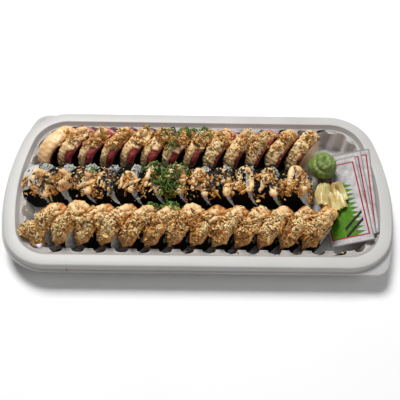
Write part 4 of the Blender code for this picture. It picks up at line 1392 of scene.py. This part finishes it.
def film_material():
    """Silvery film with a red border line, a green field with a sawtooth edge, two dark bars and red dots."""
    sh = Shader("sachet_film", 0.46)
    x, y = sh.split("UV")

    def box(x_from, x_to, y_from, y_to):
        return sh.times(sh.between(x, x_from, x_to), sh.between(y, y_from, y_to))

    inside = box(*LINE_IN)
    border = sh.math("SUBTRACT", box(*LINE_OUT), inside, clamp=True)
    saw = sh.times(sh.math("PINGPONG", y, SAW_HALF), 3.2)
    edge = sh.math("ADD", 5.0, sh.math("ADD", saw, sh.times(y, 0.07)))
    green = sh.times(sh.times(sh.math("GREATER_THAN", x, edge), sh.math("LESS_THAN", y, GREEN_TO)), inside)
    slant = sh.math("ADD", y, sh.times(x, 0.9))
    bars = sh.math("MAXIMUM", *(sh.between(slant, *pair) for pair in BAR_SLANTS))
    bars = sh.times(bars, sh.between(x, *BAR_X))
    dot_y = sh.math("PINGPONG", sh.math("SUBTRACT", y, GREEN_TO), DOT_HALF_PITCH)
    offsets = (sh.math("SUBTRACT", x, DOT_X), sh.math("SUBTRACT", dot_y, DOT_HALF_PITCH / 2))
    far = sh.math("ADD", *(sh.math("POWER", sh.math("ABSOLUTE", value), 2.0) for value in offsets))
    dots = sh.times(sh.math("LESS_THAN", far, 1.9), sh.between(y, GREEN_TO, DOT_TO))
    red = sh.math("MAXIMUM", border, dots)
    silver = sh.ramp(sh.noise(70, 4), (0.3, (0.20, 0.19, 0.19)), (0.7, (0.38, 0.36, 0.36)))
    leaf = sh.ramp(sh.noise(260, 2), (0.3, (0.050, 0.15, 0.004)), (0.7, (0.085, 0.23, 0.008)))
    tone = sh.mix(bars, sh.mix(green, silver, leaf), (0.012, 0.010, 0.010))
    sh.colour(sh.mix(red, tone, (0.33, 0.014, 0.024)))
    bare = sh.math("SUBTRACT", 1.0, sh.math("MAXIMUM", sh.math("MAXIMUM", green, bars), red))
    sh.feed(sh.bsdf.inputs["Metallic"], sh.times(bare, 0.15))
    sh.feed(sh.bsdf.inputs["Specular IOR Level"], sh.math("ADD", 0.06, sh.times(bare, 0.30)))
    sh.bump(sh.noise(150, 4, 0.6, distortion=0.8), 0.45, 1.0)
    return sh.mat


# Scene

FLOOR_HALF_METRES = 3.0
WORLD_STRENGTH = 0.13

# Lights: name, place in metres, side in metres, watts
LIGHTS = (
    ("key_light", (-0.42, 0.95, 1.95), 0.8, 50),
    ("fill_light", (1.9, -0.8, 2.2), 1.5, 17),
)


def make_camera():
    p, y, r = CAM_PITCH, CAM_YAW, CAM_ROLL
    forward = Vector((math.sin(y) * math.cos(p), math.cos(y) * math.cos(p), -math.sin(p)))
    right = Vector((math.cos(y), -math.sin(y), 0))
    up = right.cross(forward)
    right, up = right * math.cos(r) + up * math.sin(r), up * math.cos(r) - right * math.sin(r)
    data = bpy.data.cameras.new("camera")
    data.lens = CAM_LENS
    data.sensor_width = 36
    data.clip_start = 0.01
    data.clip_end = 20
    camera = place_object("camera", data)
    place = (Vector(CAM_TARGET) - forward * CAM_DISTANCE) * MM
    camera.matrix_world = Matrix.Translation(place) @ Matrix((right, up, -forward)).transposed().to_4x4()
    bpy.context.scene.camera = camera


def make_studio():
    size = FLOOR_HALF_METRES
    mesh = bpy.data.meshes.new("floor")
    corners = [(-size, -size, 0), (size, -size, 0), (size, size, 0), (-size, size, 0)]
    mesh.from_pydata(corners, [], [(0, 1, 2, 3)])
    sh = Shader("floor_white", 0.9)
    sh.colour(sh.ramp(sh.noise(3, 2), (0.4, (0.93, 0.93, 0.93)), (0.6, (0.95, 0.95, 0.95))))
    mesh.materials.append(sh.mat)
    floor = place_object("floor", mesh)
    world = bpy.data.worlds.new("studio")
    world.use_nodes = True
    background = world.node_tree.nodes["Background"]
    background.inputs[0].default_value = (1, 1, 1, 1)
    background.inputs[1].default_value = WORLD_STRENGTH
    bpy.context.scene.world = world
    for name, place, side, power in LIGHTS:
        data = bpy.data.lights.new(name, "AREA")
        data.size = side
        data.energy = power
        light = place_object(name, data)
        light.location = place
        light.rotation_euler = (-Vector(place)).to_track_quat("-Z", "Y").to_euler()
    bpy.context.scene.view_settings.view_transform = "Standard"


def main():
    make_camera()
    make_studio()
    rice, nori, chip, film = rice_material(), nori_material(), chip_material(), film_material()
    cream = sauce_material("cream_sauce", (0.93, 0.63, 0.33), (0.80, 0.49, 0.22))
    peach = sauce_material("peach_sauce", (0.93, 0.66, 0.36), (0.84, 0.54, 0.25))
    crust = sauce_material("crust_sauce", (0.80, 0.44, 0.135), (0.54, 0.245, 0.055))
    tuna_mats = [rice, nori, tuna_material(), cream]
    salmon_mats = [rice, nori, salmon_material(), crust]
    nori_mats = [rice, nori, filling_material()]
    tray_mats = [
        tray_material("tray_rim", (0.58, 0.575, 0.56), (0.51, 0.505, 0.488)),
        # Ledge material darker than the rim: painted shade of the rim over the ledge.
        tray_material("tray_ledge_painted_shade", (0.42, 0.40, 0.38), (0.34, 0.325, 0.305)),
        # Inside wall and floor material lighter than the rim: painted light on the shaded flutes and floor.
        tray_material("tray_wall_painted_light", (0.86, 0.83, 0.80), (0.76, 0.73, 0.70)),
    ]
    finish_piece(tray_piece(tray_mats), ["tray"])
    builds = []
    for k in range(FISH_COUNT):
        builds.append(tuna_roll(k, tuna_mats))
        builds.append(salmon_roll(k, salmon_mats))
    for k in range(NORI_COUNT):
        builds.append(nori_roll(k, nori_mats))
    wasabi_piece(paste_material())
    ginger_piece(ginger_material())
    for index, (name, corner, heading) in enumerate(SACHETS):
        sachet_piece(index, name, corner, heading, film)
    heap = Heap(builds)
    far_sauce(heap, cream)
    middle_sauce(heap, peach)
    near_sauce(heap, peach)
    heap.food = heap.top > heap.FOOD_FROM
    heap.refresh()
    add_toppings(heap, chip)


main()
